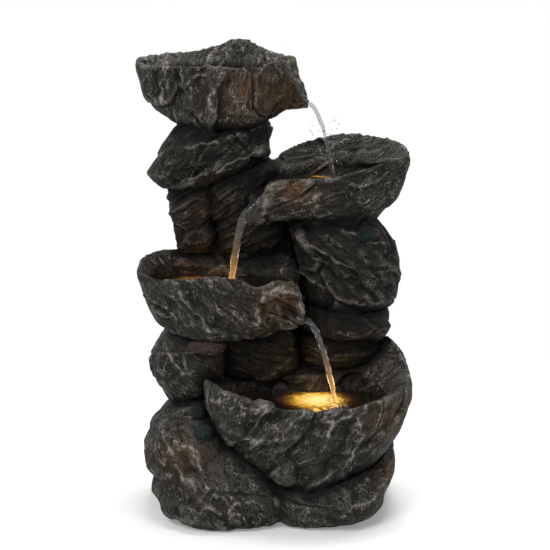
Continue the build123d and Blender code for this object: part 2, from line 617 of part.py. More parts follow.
impeller = rod(on_axis(well_bottom + BUSH_LENGTH + RUN_GAP), on_axis(vane_left), ROTOR_RADIUS)
impeller += rod(on_axis(impeller_left), on_axis(vane_left), IMPELLER_RADIUS)
impeller += rod(on_axis(impeller_left), on_axis(vane_right), IMPELLER_RADIUS / 3)
for k in range(VANES):
    vane = block(vane_left, vane_right, RISER_Y - VANE_THICKNESS / 2, RISER_Y + VANE_THICKNESS / 2,
                 axis_z, axis_z + IMPELLER_RADIUS - RUN_GAP)
    impeller += vane.rotate(Axis(on_axis(0), (1, 0, 0)), 360 * k / VANES)
shaft_hole = SHAFT_RADIUS + FIT
impeller -= rod(on_axis(well_bottom), on_axis(volute_right), shaft_hole)
impeller_shaft = rod(on_axis(well_bottom), on_axis(volute_right + SPIGOT), SHAFT_RADIUS)
rear_bush = ring(on_axis(well_bottom), on_axis(well_bottom + BUSH_LENGTH), ROTOR_RADIUS + RUN_GAP - FIT,
                 shaft_hole)
front_bush = ring(on_axis(volute_right), on_axis(volute_right + SPIGOT), FRONT_BUSH_RADIUS, shaft_hole)

intake_right = volute_right + INTAKE_LENGTH
intake_cover = pump_block(volute_right + SLIDE_GAP, intake_right)
intake_cover -= pump_block(volute_right, intake_right - INTAKE_WALL, INTAKE_WALL)
slot_step = (PUMP_SIZE - 2 * INTAKE_WALL) / INTAKE_SLOTS
for k in range(INTAKE_SLOTS):
    z = pump_low + INTAKE_WALL + (k + 0.5) * slot_step
    intake_cover -= block(volute_right + SPIGOT + INTAKE_WALL, intake_right - 2 * INTAKE_WALL,
                          RISER_Y - half, RISER_Y + half, z - slot_step / 4, z + slot_step / 4)
dial_hole = DIAL_STUD_RADIUS + FIT
intake_cover -= rod(on_axis(intake_right - INTAKE_WALL), on_axis(intake_right), dial_hole)
dial_left = intake_right + SLIDE_GAP
dial_right = dial_left + DIAL_THICKNESS
collar_right = intake_right - INTAKE_WALL - SLIDE_GAP
flow_dial = rod(on_axis(dial_left), on_axis(dial_right), DIAL_RADIUS)
flow_dial += rod(on_axis(collar_right), on_axis(dial_left), DIAL_STUD_RADIUS)
flow_dial += rod(on_axis(collar_right - INTAKE_WALL), on_axis(collar_right),
                 DIAL_STUD_RADIUS + INTAKE_WALL / 2)
flow_dial += block(dial_right, dial_right + DIAL_THICKNESS, RISER_Y - DIAL_THICKNESS / 2,
                   RISER_Y + DIAL_THICKNESS / 2, axis_z - DIAL_RADIUS / 2, axis_z + DIAL_RADIUS * 0.9)

suction_cups = []
for x in (motor_left + CUP_RADIUS, volute_left - CUP_RADIUS):
    for y in (RISER_Y - half + CUP_RADIUS, RISER_Y + half - CUP_RADIUS):
        suction_cups.append(rod((x, y, tub_floor), (x, y, pump_low), CUP_RADIUS, CUP_RADIUS / 2))

# Riser to the top bowl and its outlet
hose_radius = HOSE_BORE / 2 + HOSE_WALL
outlet_floor = top_bed + TOP_FLOOR
hose_top = top_bed - NUT_HEIGHT - 2 * FIT
flange_low = outlet_floor + SEAL_THICKNESS
flange_top = flange_low + FLANGE_THICKNESS
riser_hose = ring(on_riser(pump_top), on_riser(hose_top), hose_radius, HOSE_BORE / 2)
outlet_fitting = rod(on_riser(flange_low), on_riser(flange_top), FLANGE_RADIUS)
outlet_fitting += rod(on_riser(hose_top), on_riser(flange_low), hose_radius)
outlet_fitting += rod(on_riser(hose_top - BARB_LENGTH), on_riser(hose_top), barb_radius)
outlet_fitting -= rod(on_riser(hose_top - BARB_LENGTH), on_riser(flange_top), water_radius)
outlet_seal = ring(on_riser(outlet_floor), on_riser(flange_low), FLANGE_RADIUS, hose_radius + FIT)
nut_low = top_bed - NUT_HEIGHT
outlet_nut = Pos(*on_riser(nut_low)) * extrude(RegularPolygon(NUT_RADIUS, 6), NUT_HEIGHT)
outlet_nut -= rod(on_riser(nut_low), on_riser(top_bed), hose_radius + FIT)
hose_clamps = []
for z in (pump_top + BARB_LENGTH / 2, hose_top - BARB_LENGTH / 2):
    low, high = z - CLAMP_WIDTH / 2, z + CLAMP_WIDTH / 2
    clamp_bore = hose_radius + FIT
    clamp = ring(on_riser(low), on_riser(high), clamp_bore + CLAMP_THICKNESS, clamp_bore)
    ear = RISER_Y + clamp_bore + CLAMP_THICKNESS / 2
    clamp += block(RISER_X - CLAMP_WIDTH / 2, RISER_X + CLAMP_WIDTH / 2, ear, ear + CLAMP_WIDTH / 2,
                   low, high)
    hose_clamps.append(clamp)
riser_bore = rod(on_riser(CHAMBER_TOP - 2 * BITE), on_riser(hose_top), hose_radius + BORE_ROOM)
rear_column = rear_column.cut(riser_bore)
upper_rock = upper_rock.cut(riser_bore)
top_bowl -= rod(on_riser(top_bed), on_riser(outlet_floor), hose_radius + FIT)

# Overflow that keeps the basin's level and drains into the sump
overflow_z = BASIN_BED + OVERFLOW_RISE


def along_overflow(y):
    return (OVERFLOW_X, y, overflow_z)


flange_y = OVERFLOW_SEAT - SEAL_THICKNESS
flange_face = along_overflow(flange_y - FLANGE_THICKNESS)
flange_back = along_overflow(flange_y)
seat = along_overflow(OVERFLOW_SEAT)
pipe_end = along_overflow(OVERFLOW_SEAT + OVERFLOW_LENGTH)
overflow_pipe = rod(flange_back, pipe_end, OVERFLOW_RADIUS)
overflow_pipe += rod(flange_face, flange_back, FLANGE_RADIUS)
overflow_pipe -= rod(flange_face, pipe_end, OVERFLOW_RADIUS - OVERFLOW_WALL)
overflow_seal = ring(flange_back, seat, FLANGE_RADIUS, OVERFLOW_RADIUS + FIT)
strainer_y = flange_y - FLANGE_THICKNESS - STRAINER_LENGTH
overflow_strainer = rod(along_overflow(strainer_y), flange_face, FLANGE_RADIUS)
overflow_strainer -= rod(along_overflow(strainer_y + OVERFLOW_WALL), flange_face,
                         FLANGE_RADIUS - OVERFLOW_WALL)
strainer_step = 2 * FLANGE_RADIUS / (STRAINER_SLOTS + 1)
for k in range(STRAINER_SLOTS):
    x = OVERFLOW_X - FLANGE_RADIUS + (k + 1) * strainer_step
    overflow_strainer -= block(x - strainer_step / 4, x + strainer_step / 4, strainer_y,
                               strainer_y + STRAINER_LENGTH / 2, overflow_z - FLANGE_RADIUS / 2,
                               overflow_z + FLANGE_RADIUS / 2)
spot_face = rod(along_overflow(strainer_y - STRAINER_LENGTH), seat, FLANGE_RADIUS + BORE_ROOM)
overflow_bore = rod(seat, pipe_end, OVERFLOW_RADIUS + FIT)
basin = basin.cut(spot_face, overflow_bore)

# Lights in three bowls, wired down through the castings to the junction box
junction_right = tub_left - JUNCTION_GAP
junction_left = junction_right - JUNCTION_WIDTH
junction_x = (junction_left + junction_right) / 2
cable_junction = block(junction_left, junction_right, JUNCTION_Y, JUNCTION_Y + JUNCTION_LENGTH,
                       base_floor, base_floor + JUNCTION_HEIGHT)
cable_junction = fillet(cable_junction.edges().filter_by(Axis.Z), JUNCTION_CORNER)
run_z = base_floor + CABLE_RADIUS
junction_top = base_floor + JUNCTION_HEIGHT
led_spots = [
    (-133, 2, third_bed + THIRD_FLOOR, []),
    (78, -58, BASIN_BED + BASIN_FLOOR, [(10, -20), (-50, JUNCTION_Y + BASIN_ENTRY)]),
    (112, 30, second_bed + SECOND_FLOOR, [(40, JUNCTION_Y + SECOND_ENTRY)])]
lens_radius = LED_RADIUS - LED_SHOULDER
well_radius = lens_radius - LED_SHOULDER
led_housings = []
led_lenses = []
led_boards = []
led_seals = []
led_cables = []
cable_bores = []
for x, y, floor, route in led_spots:
    lens_low = floor + LED_HEIGHT - LENS_THICKNESS
    housing = rod((x, y, floor), (x, y, floor + LED_HEIGHT), LED_RADIUS)
    housing -= rod((x, y, floor + LED_FLOOR), (x, y, floor + LED_HEIGHT), well_radius)
    housing -= rod((x, y, lens_low - LED_SEAL), (x, y, floor + LED_HEIGHT), lens_radius)
    housing -= rod((x, y, floor), (x, y, floor + LED_FLOOR), CABLE_RADIUS + FIT)
    led_housings.append(housing)
    led_seals.append(ring((x, y, lens_low - LED_SEAL), (x, y, lens_low), lens_radius - FIT, well_radius))
    led_lenses.append(rod((x, y, lens_low), (x, y, floor + LED_HEIGHT), lens_radius - FIT))
    board_top = floor + LED_FLOOR + BOARD_THICKNESS
    board = rod((x, y, floor + LED_FLOOR), (x, y, board_top), well_radius - FIT)
    for k in range(DIODES):
        angle = 2 * math.pi * k / DIODES
        diode = Pos(x + well_radius / 2 * math.cos(angle), y + well_radius / 2 * math.sin(angle),
                    board_top + DIODE_HEIGHT / 2)
        board += diode * Box(DIODE_SIZE, DIODE_SIZE, DIODE_HEIGHT)
    led_boards.append(board)
    if route:
        corners = [(x, y)] + route + [(junction_right, route[-1][1])]
        points = [(x, y, floor + LED_FLOOR)] + [(*corner, run_z) for corner in corners]
        led_cables.append(cable(points, CABLE_RADIUS, CABLE_BEND))
    else:
        led_cables.append(rod((x, y, junction_top), (x, y, floor + LED_FLOOR), CABLE_RADIUS))
    cable_bores.append(rod((x, y, run_z + CABLE_BEND), (x, y, floor), CABLE_RADIUS + BORE_ROOM))
third_bore, basin_bore, second_bore = cable_bores
third_bowl = third_bowl.cut(third_bore)
second_bowl = second_bowl.cut(second_bore)
right_rock = right_rock.cut(second_bore)
shelf_rock = shelf_rock.cut(second_bore)
back_wall_rock = back_wall_rock.cut(second_bore)
basin = basin.cut(basin_bore, second_bore)

# Leads inside: from the pump over the tub's wall, and from the gland at the back
pump_cable_x = motor_left + CABLE_BEND
pump_cable_y = JUNCTION_Y + JUNCTION_LENGTH - 2 * CABLE_RADIUS
loop_z = pump_top + 2 * CABLE_BEND
pump_cable = cable([(pump_cable_x, pump_cable_y, pump_top), (pump_cable_x, pump_cable_y, loop_z),
                    (junction_x, pump_cable_y, loop_z), (junction_x, pump_cable_y, junction_top)],
                   CABLE_RADIUS, CABLE_BEND)
gland_z = LEAD_EXIT_Z + GLAND_NOSE + GLAND_RADIUS
gland_inner = LEAD_Y - GLAND_LENGTH
lead_y = JUNCTION_Y + JUNCTION_LENGTH / 2
supply_lead = cable([(LEAD_X, gland_inner, gland_z), (LEAD_X, lead_y, gland_z),
                     (junction_x, lead_y, gland_z), (junction_x, lead_y, junction_top)],
                    CABLE_RADIUS, CABLE_BEND)
lead_bore = rod((junction_x, lead_y, junction_top), (junction_x, lead_y, ledge_z), CABLE_RADIUS + BORE_ROOM)
elbow = (LEAD_X, LEAD_Y, gland_z)
gland_bore = rod((LEAD_X, gland_inner, gland_z), elbow, GLAND_RADIUS + FIT)
mid_left_rock = mid_left_rock.cut(third_bore, lead_bore, gland_bore)
relief_tip = CORD_RADIUS + RELIEF_WALL
cord_gland = rod((LEAD_X, gland_inner, gland_z), elbow, GLAND_RADIUS)
cord_gland += rod((LEAD_X, LEAD_Y - 2 * GLAND_RADIUS, gland_z), (LEAD_X, LEAD_Y - GLAND_RADIUS, gland_z),
                  GLAND_NUT_RADIUS)
cord_gland += Pos(*elbow) * Sphere(GLAND_RADIUS)
cord_gland += rod(elbow, (LEAD_X, LEAD_Y, LEAD_EXIT_Z), GLAND_RADIUS, relief_tip)
cord_gland = largest(cord_gland.cut(mid_left_rock))

# Two halves of the base, and its feet
beyond = 1000
base = base.cut(third_bore, lead_bore, second_bore)
rear_panel = base & rear_wall
base = base.cut(rear_wall)
base_left_rock = largest(base.cut(block(SEAM_X, beyond, -beyond, beyond, -beyond, beyond)))
base_right_rock = largest(base.cut(block(-beyond, SEAM_X, -beyond, beyond, -beyond, beyond)))
rubber_feet = []
for x, y in ((-115, -105), (-120, 95), (-40, 120), (70, 120), (125, 95), (120, -100)):
    rubber_feet.append(rod((x, y, 0), (x, y, FOOT_HEIGHT), FOOT_RADIUS))


# Pebbles bonded into the joints between the castings
def pebble(x, y, z, a, b, c, neighbours):
    rings = []
    for row in range(1, PEBBLE_ROWS):
        polar = math.pi * (1 - row / PEBBLE_ROWS)
        turns = [2 * math.pi * k / PEBBLE_SECTORS for k in range(PEBBLE_SECTORS)]
        rings.append([(x + a * math.sin(polar) * math.cos(t), y + b * math.sin(polar) * math.sin(t),
                       z + c * math.cos(polar)) for t in turns])
    return largest(skin(rings).cut(*neighbours))


red_pebbles = [
    pebble(-108, -34, ledge_z + 49, 33, 20, 14,
           [mid_left_filled, mid_center_filled, third_filled, basin_filled]),
    pebble(-152, 42, third_bed + 110, 16, 12, 10, [third_filled])]
dark_pebbles = [
    pebble(-114, -88, ledge_z - 90, 16, 14, 18, [base_filled, basin_filled]),
    pebble(-124, -62, ledge_z - 58, 14, 14, 14, [base_filled, basin_filled, mid_left_filled]),
    pebble(158, -24, second_bed - 12, 17, 15, 13, [right_filled, second_filled])]

# Mains lead: hangs behind the base, then lies in a tied coil with its plug beside it
coil_low = CORD_RADIUS + TIE_THICKNESS + TIE_GAP
coil_inner = COIL_RADIUS - COIL_PITCH * COIL_TURNS / 2
cord_points = [
    (LEAD_X, LEAD_Y, LEAD_EXIT_Z), (LEAD_X, LEAD_Y, 178), (LEAD_X - 2, LEAD_Y + 4, 122),
    (LEAD_X - 6, LEAD_Y + 10, 72), (LEAD_X - 14, LEAD_Y + 24, 28), (LEAD_X - 27, LEAD_Y + 52, coil_low + 1),
    (COIL_X - COIL_RADIUS, COIL_Y - 24, coil_low), (COIL_X - COIL_RADIUS, COIL_Y, coil_low)]
cord_bends = []
for a, b, c in zip(cord_points, cord_points[1:], cord_points[2:]):
    run_in, run_out = Vector(*b) - Vector(*a), Vector(*c) - Vector(*b)
    turn = math.radians(run_in.get_angle(run_out))
    cord_bends.append(ARC_SHARE * min(run_in.length, run_out.length) / math.tan(turn / 2))
power_cord = cable(cord_points, CORD_RADIUS, cord_bends)
cord_length = power_cord.volume / (math.pi * CORD_RADIUS ** 2)
print("cord bends", [round(bend) for bend in cord_bends], "free length", round(cord_length))


def coil_point(turns):
    """Clockwise from the left: spirals in on the lower layer and out again on the upper."""
    away = turns - COIL_TURNS / 2
    radius = coil_inner + COIL_PITCH * abs(away)
    climb = min(max(2 * away + 0.5, 0), 1)
    angle = math.pi - 2 * math.pi * turns
    return Vector(COIL_X + radius * math.cos(angle), COIL_Y + radius * math.sin(angle),
                  coil_low + COIL_PITCH * climb * climb * (3 - 2 * climb))


def coil_heading(turns):
    if turns in (0, COIL_TURNS):
        angle = math.pi / 2 - 2 * math.pi * turns
        return Vector(math.cos(angle), math.sin(angle), 0)
    return (coil_point(turns + 0.01) - coil_point(turns - 0.01)).normalized()


def biarc(start, heading, end, end_heading):
    """Two arcs that leave and arrive along the headings."""
    chord = end - start
    both = heading + end_heading
    spare = 2 * (1 - heading.dot(end_heading))
    along = chord.dot(both)
    reach = (math.sqrt(along * along + spare * chord.dot(chord)) - along) / spare
    middle = (start + heading * reach + end - end_heading * reach) / 2
    return [Edge.make_tangent_arc(start, heading, middle),
            Edge.make_tangent_arc(end, end_heading * -1, middle)]


quarters = [k / 4 for k in range(round(4 * COIL_TURNS) + 1)]
coil_edges = []
for a, b in zip(quarters, quarters[1:]):
    coil_edges += biarc(coil_point(a), coil_heading(a), coil_point(b), coil_heading(b))
plug_entry = coil_point(COIL_TURNS) + coil_heading(COIL_TURNS) * COIL_END
coil_edges.append(Edge.make_line(coil_point(COIL_TURNS), plug_entry))
coil_path = Wire(coil_edges)
cord_coil = sweep(Plane(origin=coil_point(0), z_dir=coil_heading(0)) * Circle(CORD_RADIUS), path=coil_path)
samples = [coil_point(k / COIL_SAMPLES) for k in range(round(COIL_SAMPLES * COIL_TURNS) + 1)]
least = min((a - b).length for i, a in enumerate(samples) for b in samples[i + COIL_SAMPLES // 2:])
print("coil length", round(coil_path.length), "least gap between turns", round(least - 2 * CORD_RADIUS, 2))

tie_out = COIL_X - COIL_RADIUS - CORD_RADIUS - TIE_GAP
tie_in = COIL_X - coil_inner + CORD_RADIUS + TIE_GAP
tie_top = coil_low + COIL_PITCH + CORD_RADIUS + TIE_GAP
cord_tie = block(tie_out - TIE_THICKNESS, tie_in + TIE_THICKNESS,
                 COIL_Y - TIE_WIDTH / 2, COIL_Y + TIE_WIDTH / 2, 0, tie_top + TIE_THICKNESS)
cord_tie -= block(tie_out, tie_in, COIL_Y - TIE_WIDTH, COIL_Y + TIE_WIDTH, TIE_THICKNESS, tie_top)

plug_x, plug_y, plug_z = plug_entry
relief_end = plug_x + PLUG_RELIEF
plug_body = rod((plug_x, plug_y, plug_z), (relief_end, plug_y, plug_z), relief_tip, 2 * CORD_RADIUS)
plug_grip = block(relief_end, relief_end + PLUG_LENGTH, plug_y - PLUG_WIDTH / 2, plug_y + PLUG_WIDTH / 2,
                  0, 2 * plug_z)
plug_body += fillet(plug_grip.edges().filter_by(Axis.X), PLUG_CORNER)
prong_x = relief_end + PLUG_LENGTH + PRONG_LENGTH / 2
plug_pins = [Pos(prong_x, y, plug_z) * Box(PRONG_LENGTH, PRONG_THICKNESS, PRONG_WIDTH)
             for y in (plug_y - PRONG_PITCH / 2, plug_y + PRONG_PITCH / 2)]

nodes = {
    "top_bowl": top_bowl, "second_bowl": second_bowl, "third_bowl": third_bowl, "basin": basin,
    "upper_rock": upper_rock, "right_rock": right_rock, "neck_left_rock": neck_left_rock,
    "neck_slab": neck_slab, "rear_column": rear_column, "shelf_rock": shelf_rock,
    "mid_left_rock": mid_left_rock, "mid_center_rock": mid_center_rock, "back_wall_rock": back_wall_rock,
    "base_left_rock": base_left_rock, "base_right_rock": base_right_rock, "rear_panel": rear_panel,
    "red_pebbles": red_pebbles, "dark_pebbles": dark_pebbles, "rubber_feet": rubber_feet,
    "rear_door": rear_door, "door_gasket": door_gasket, "door_magnets": door_magnets,
    "catch_magnets": catch_magnets, "door_knob": door_knob, "hinge_frame_leaves": frame_leaves,
    "hinge_door_leaves": door_leaves, "hinge_pins": hinge_pins, "frame_hinge_screws": frame_screws,
    "door_hinge_screws": door_screws,
    "sump_tub": sump_tub, "pump_housing": pump_housing, "volute_cover": volute_cover, "impeller": impeller,
    "impeller_shaft": impeller_shaft, "shaft_bushes": [rear_bush, front_bush], "intake_cover": intake_cover,
    "flow_dial": flow_dial, "suction_cups": suction_cups, "pump_cable": pump_cable,
    "riser_hose": riser_hose, "hose_clamps": hose_clamps, "outlet_fitting": outlet_fitting,
    "outlet_seal": outlet_seal, "outlet_nut": outlet_nut, "overflow_pipe": overflow_pipe,
    "overflow_seal": overflow_seal, "overflow_strainer": overflow_strainer,
    "led_housings": led_housings, "led_lenses": led_lenses, "led_boards": led_boards,
    "led_seals": led_seals, "led_cables": led_cables, "cable_junction": cable_junction,
    "supply_lead": supply_lead,
    "cord_gland": cord_gland, "power_cord": power_cord, "cord_coil": cord_coil, "cord_tie": cord_tie,
    "plug_body": plug_body, "plug_pins": plug_pins}

os.makedirs("parts", exist_ok=True)
for name, shape in nodes.items():
    solids = shape if isinstance(shape, list) else [shape]
    solids = [solid for piece in solids for solid in piece.solids()]
    export_step(Compound(children=solids) if len(solids) > 1 else solids[0], f"parts/{name}.step")
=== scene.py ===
import json
import math

import bmesh
import bpy
import numpy as np
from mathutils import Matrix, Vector
from mathutils.bvhtree import BVHTree


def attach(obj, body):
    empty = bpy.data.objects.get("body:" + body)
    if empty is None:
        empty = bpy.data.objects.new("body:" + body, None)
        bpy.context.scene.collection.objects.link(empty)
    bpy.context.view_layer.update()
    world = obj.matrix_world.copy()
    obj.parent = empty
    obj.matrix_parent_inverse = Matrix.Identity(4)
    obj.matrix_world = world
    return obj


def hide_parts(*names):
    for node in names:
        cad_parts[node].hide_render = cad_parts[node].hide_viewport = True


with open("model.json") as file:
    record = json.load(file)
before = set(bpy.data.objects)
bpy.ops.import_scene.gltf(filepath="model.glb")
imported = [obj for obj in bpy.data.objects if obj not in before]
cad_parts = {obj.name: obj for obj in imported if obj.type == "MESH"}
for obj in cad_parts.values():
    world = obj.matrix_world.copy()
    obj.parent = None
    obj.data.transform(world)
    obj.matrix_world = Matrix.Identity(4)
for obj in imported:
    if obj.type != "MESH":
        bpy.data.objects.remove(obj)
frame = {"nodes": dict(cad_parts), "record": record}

nodes = frame["nodes"]
scene = bpy.context.scene
scene.view_settings.view_transform = "Standard"
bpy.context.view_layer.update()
mm = 0.001


# Camera at the photograph's angle
view = {"lens": 100.0, "distance": 2.6, "elevation": 13.0, "target": (0.005, 0.017, 0.400)}

tilt = math.radians(view["elevation"])
camera = bpy.data.objects.new("photoCamera", bpy.data.cameras.new("photoCamera"))
camera.data.lens = view["lens"]
camera.location = Vector(view["target"]) + view["distance"] * Vector((0, -math.cos(tilt), math.sin(tilt)))
camera.rotation_euler = (math.pi / 2 - tilt, 0, 0)
scene.collection.objects.link(camera)
scene.camera = camera


# Small helpers for node trees
def feed(tree, socket, value):
    if isinstance(value, bpy.types.NodeSocket):
        tree.links.new(value, socket)
    else:
        socket.default_value = value


def put(tree, kind, feeds=None, **settings):
    made = tree.nodes.new(kind)
    for key, value in settings.items():
        setattr(made, key, value)
    for key, value in (feeds or {}).items():
        feed(tree, made.inputs[key], value)
    return made


def calc(tree, operation, *values, clamp=False):
    made = put(tree, "ShaderNodeMath", operation=operation, use_clamp=clamp)
    for socket, value in zip(made.inputs, values):
        feed(tree, socket, value)
    return made.outputs[0]


def vec(tree, operation, first, second):
    made = put(tree, "ShaderNodeVectorMath", operation=operation)
    feed(tree, made.inputs[0], first)
    feed(tree, made.inputs[3 if operation == "SCALE" else 1], second)
    return made.outputs[1 if operation == "DOT_PRODUCT" else 0]


def ramp(tree, value, low, high, start=0.0, end=1.0):
    feeds = {"Value": value, "From Min": low, "From Max": high, "To Min": start, "To Max": end}
    return put(tree, "ShaderNodeMapRange", feeds, interpolation_type="SMOOTHSTEP").outputs[0]


def blendColour(tree, share, first, second, mode="MIX"):
    made = put(tree, "ShaderNodeMix", data_type="RGBA", blend_type=mode)
    for place, value in ((0, share), (6, first), (7, second)):
        feed(tree, made.inputs[place], value)
    return made.outputs[2]


def cloud(tree, place, scale, detail=2.0, seed=None, output=0):
    feeds = {"Vector": place, "Scale": scale, "Detail": detail}
    settings = {}
    if seed is not None:
        feeds["W"] = seed
        settings["noise_dimensions"] = "4D"
    return put(tree, "ShaderNodeTexNoise", feeds, **settings).outputs[output]


def shaderGroup(name, inputs, outputs):
    tree = bpy.data.node_groups.new(name, "ShaderNodeTree")
    for label, kind, value in inputs:
        socket = tree.interface.new_socket(label, in_out="INPUT", socket_type=kind)
        socket.default_value = value
    for label, kind in outputs:
        tree.interface.new_socket(label, in_out="OUTPUT", socket_type=kind)
    return tree, put(tree, "NodeGroupInput").outputs, put(tree, "NodeGroupOutput").inputs


def geometryGroup(name, inputs):
    tree = bpy.data.node_groups.new(name, "GeometryNodeTree")
    tree.interface.new_socket("Geometry", in_out="INPUT", socket_type="NodeSocketGeometry")
    for label, kind, value in inputs:
        tree.interface.new_socket(label, in_out="INPUT", socket_type=kind).default_value = value
    tree.interface.new_socket("Finish", in_out="INPUT", socket_type="NodeSocketMaterial")
    tree.interface.new_socket("Geometry", in_out="OUTPUT", socket_type="NodeSocketGeometry")
    return tree, put(tree, "NodeGroupInput").outputs


def newMaterial(name, **sockets):
    material = bpy.data.materials.new(name)
    material.use_nodes = True
    tree = material.node_tree
    shader = tree.nodes["Principled BSDF"]
    for label, value in sockets.items():
        shader.inputs[label.replace("_", " ")].default_value = value
    return material, tree, shader


def paint(obj, material):
    obj.data.materials.clear()
    obj.data.materials.append(material)


# Floor, background and lamps
studio = {"floorColour": (0.86, 0.86, 0.85, 1), "floorLift": 0.22, "fadeFrom": 0.4, "fadeTo": 1.2,
          "floorSide": 6.0, "sky": 0.27, "key": 46.0, "fill": 3.0, "top": 62.0, "aim": (0, 0, 0.42)}


# Rays to which floor and sky are white: the camera's, and those off or through a gloss
def seenRays(tree):
    rays = put(tree, "ShaderNodeLightPath").outputs
    direct = calc(tree, "MAXIMUM", rays["Is Camera Ray"], rays["Is Glossy Ray"])
    return calc(tree, "MAXIMUM", direct, rays["Is Transmission Ray"])


side = studio["floorSide"]
floorMesh = bpy.data.meshes.new("paleFloor")
corners = [(-side, -side, 0), (side, -side, 0), (side, side, 0), (-side, side, 0)]
floorMesh.from_pydata(corners, [], [(0, 1, 2, 3)])
floor = bpy.data.objects.new("paleFloor", floorMesh)
scene.collection.objects.link(floor)
floorPaint, tree, shader = newMaterial("paleFloor", Base_Color=studio["floorColour"], Roughness=0.9)
shader.inputs["Specular IOR Level"].default_value = 0.0
seen = seenRays(tree)
lift = put(tree, "ShaderNodeEmission", {"Color": (1, 1, 1, 1),
                                        "Strength": calc(tree, "MULTIPLY", seen, studio["floorLift"])})
near = put(tree, "ShaderNodeAddShader", {0: shader.outputs[0], 1: lift.outputs[0]})
white = put(tree, "ShaderNodeEmission", {"Color": (1, 1, 1, 1), "Strength": 1.0})
place = put(tree, "ShaderNodeTexCoord").outputs["Object"]
spot = put(tree, "ShaderNodeVectorMath", {0: place}, operation="LENGTH")
fade = calc(tree, "MULTIPLY", seen, ramp(tree, spot.outputs["Value"], studio["fadeFrom"], studio["fadeTo"]))
both = put(tree, "ShaderNodeMixShader", {0: fade, 1: near.outputs[0], 2: white.outputs[0]})
tree.links.new(both.outputs[0], tree.nodes["Material Output"].inputs["Surface"])
paint(floor, floorPaint)

world = bpy.data.worlds.new("studioWorld")
world.use_nodes = True
scene.world = world
tree = world.node_tree
background = tree.nodes["Background"]
background.inputs["Color"].default_value = (1, 1, 1, 1)
feed(tree, background.inputs["Strength"], ramp(tree, seenRays(tree), 0.0, 1.0, studio["sky"], 1.0))


def softLamp(name, place, size, power):
    lamp = bpy.data.lights.new(name, "AREA")
    lamp.size = size
    lamp.energy = power
    holder = bpy.data.objects.new(name, lamp)
    holder.location = place
    holder.rotation_euler = (Vector(studio["aim"]) - Vector(place)).to_track_quat("-Z", "Y").to_euler()
    scene.collection.objects.link(holder)


softLamp("keyLamp", (-1.3, -1.9, 2.3), 1.2, studio["key"])
softLamp("fillLamp", (2.0, -1.4, 1.2), 1.4, studio["fill"])
softLamp("topLamp", (0.2, 0.5, 2.6), 1.4, studio["top"])
print("stage: camera, floor and lamps")


# Mains cord: down the back of the base, along the floor and into a coil
cordRun = {
    "diameter": 7.0,
    "route": [(-177, 130, 228), (-177, 130, 178), (-179, 134, 122), (-183, 140, 72), (-191, 154, 28),
              (-204, 182, 5.8), (-217, 209, 4.8), (-217, 233, 4.8)],
    "coilCentre": (-166, 233), "coilInner": 31.05, "turns": 5.25, "pitch": 7.6, "turnPoints": 24,
    "layer": (4.8, 7.6), "plugEntry": (-148, 284, 12.4)}


def smoothStep(value):
    value = min(1.0, max(0.0, value))
    return value * value * (3 - 2 * value)


def cordPoints(run):
    points = [Vector(point) for point in run["route"]]
    total = round(run["turns"] * run["turnPoints"])
    middle = run["turns"] / 2
    for step in range(1, total + 1):
        turn = run["turns"] * step / total
        away = turn - middle
        radius = run["coilInner"] + run["pitch"] * abs(away)
        angle = math.pi - 2 * math.pi * turn
        height = run["layer"][0] + run["layer"][1] * smoothStep(2 * away + 0.5)
        points.append(Vector((run["coilCentre"][0] + radius * math.cos(angle),
                              run["coilCentre"][1] + radius * math.sin(angle), height)))
    points.append(Vector(run["plugEntry"]))
    return [point * mm for point in points]


route = cordPoints(cordRun)
cordCurve = bpy.data.curves.new("mainsCord", "CURVE")
cordCurve.dimensions = "3D"
cordCurve.bevel_depth = cordRun["diameter"] / 2 * mm
cordCurve.bevel_resolution = 4
cordCurve.use_fill_caps = True
spline = cordCurve.splines.new("NURBS")
spline.points.add(len(route) - 1)
for point, place in zip(spline.points, route):
    point.co = (*place, 1)
spline.order_u = 3
spline.use_endpoint_u = True
spline.resolution_u = 6
mainsCord = bpy.data.objects.new("mainsCord", cordCurve)
scene.collection.objects.link(mainsCord)


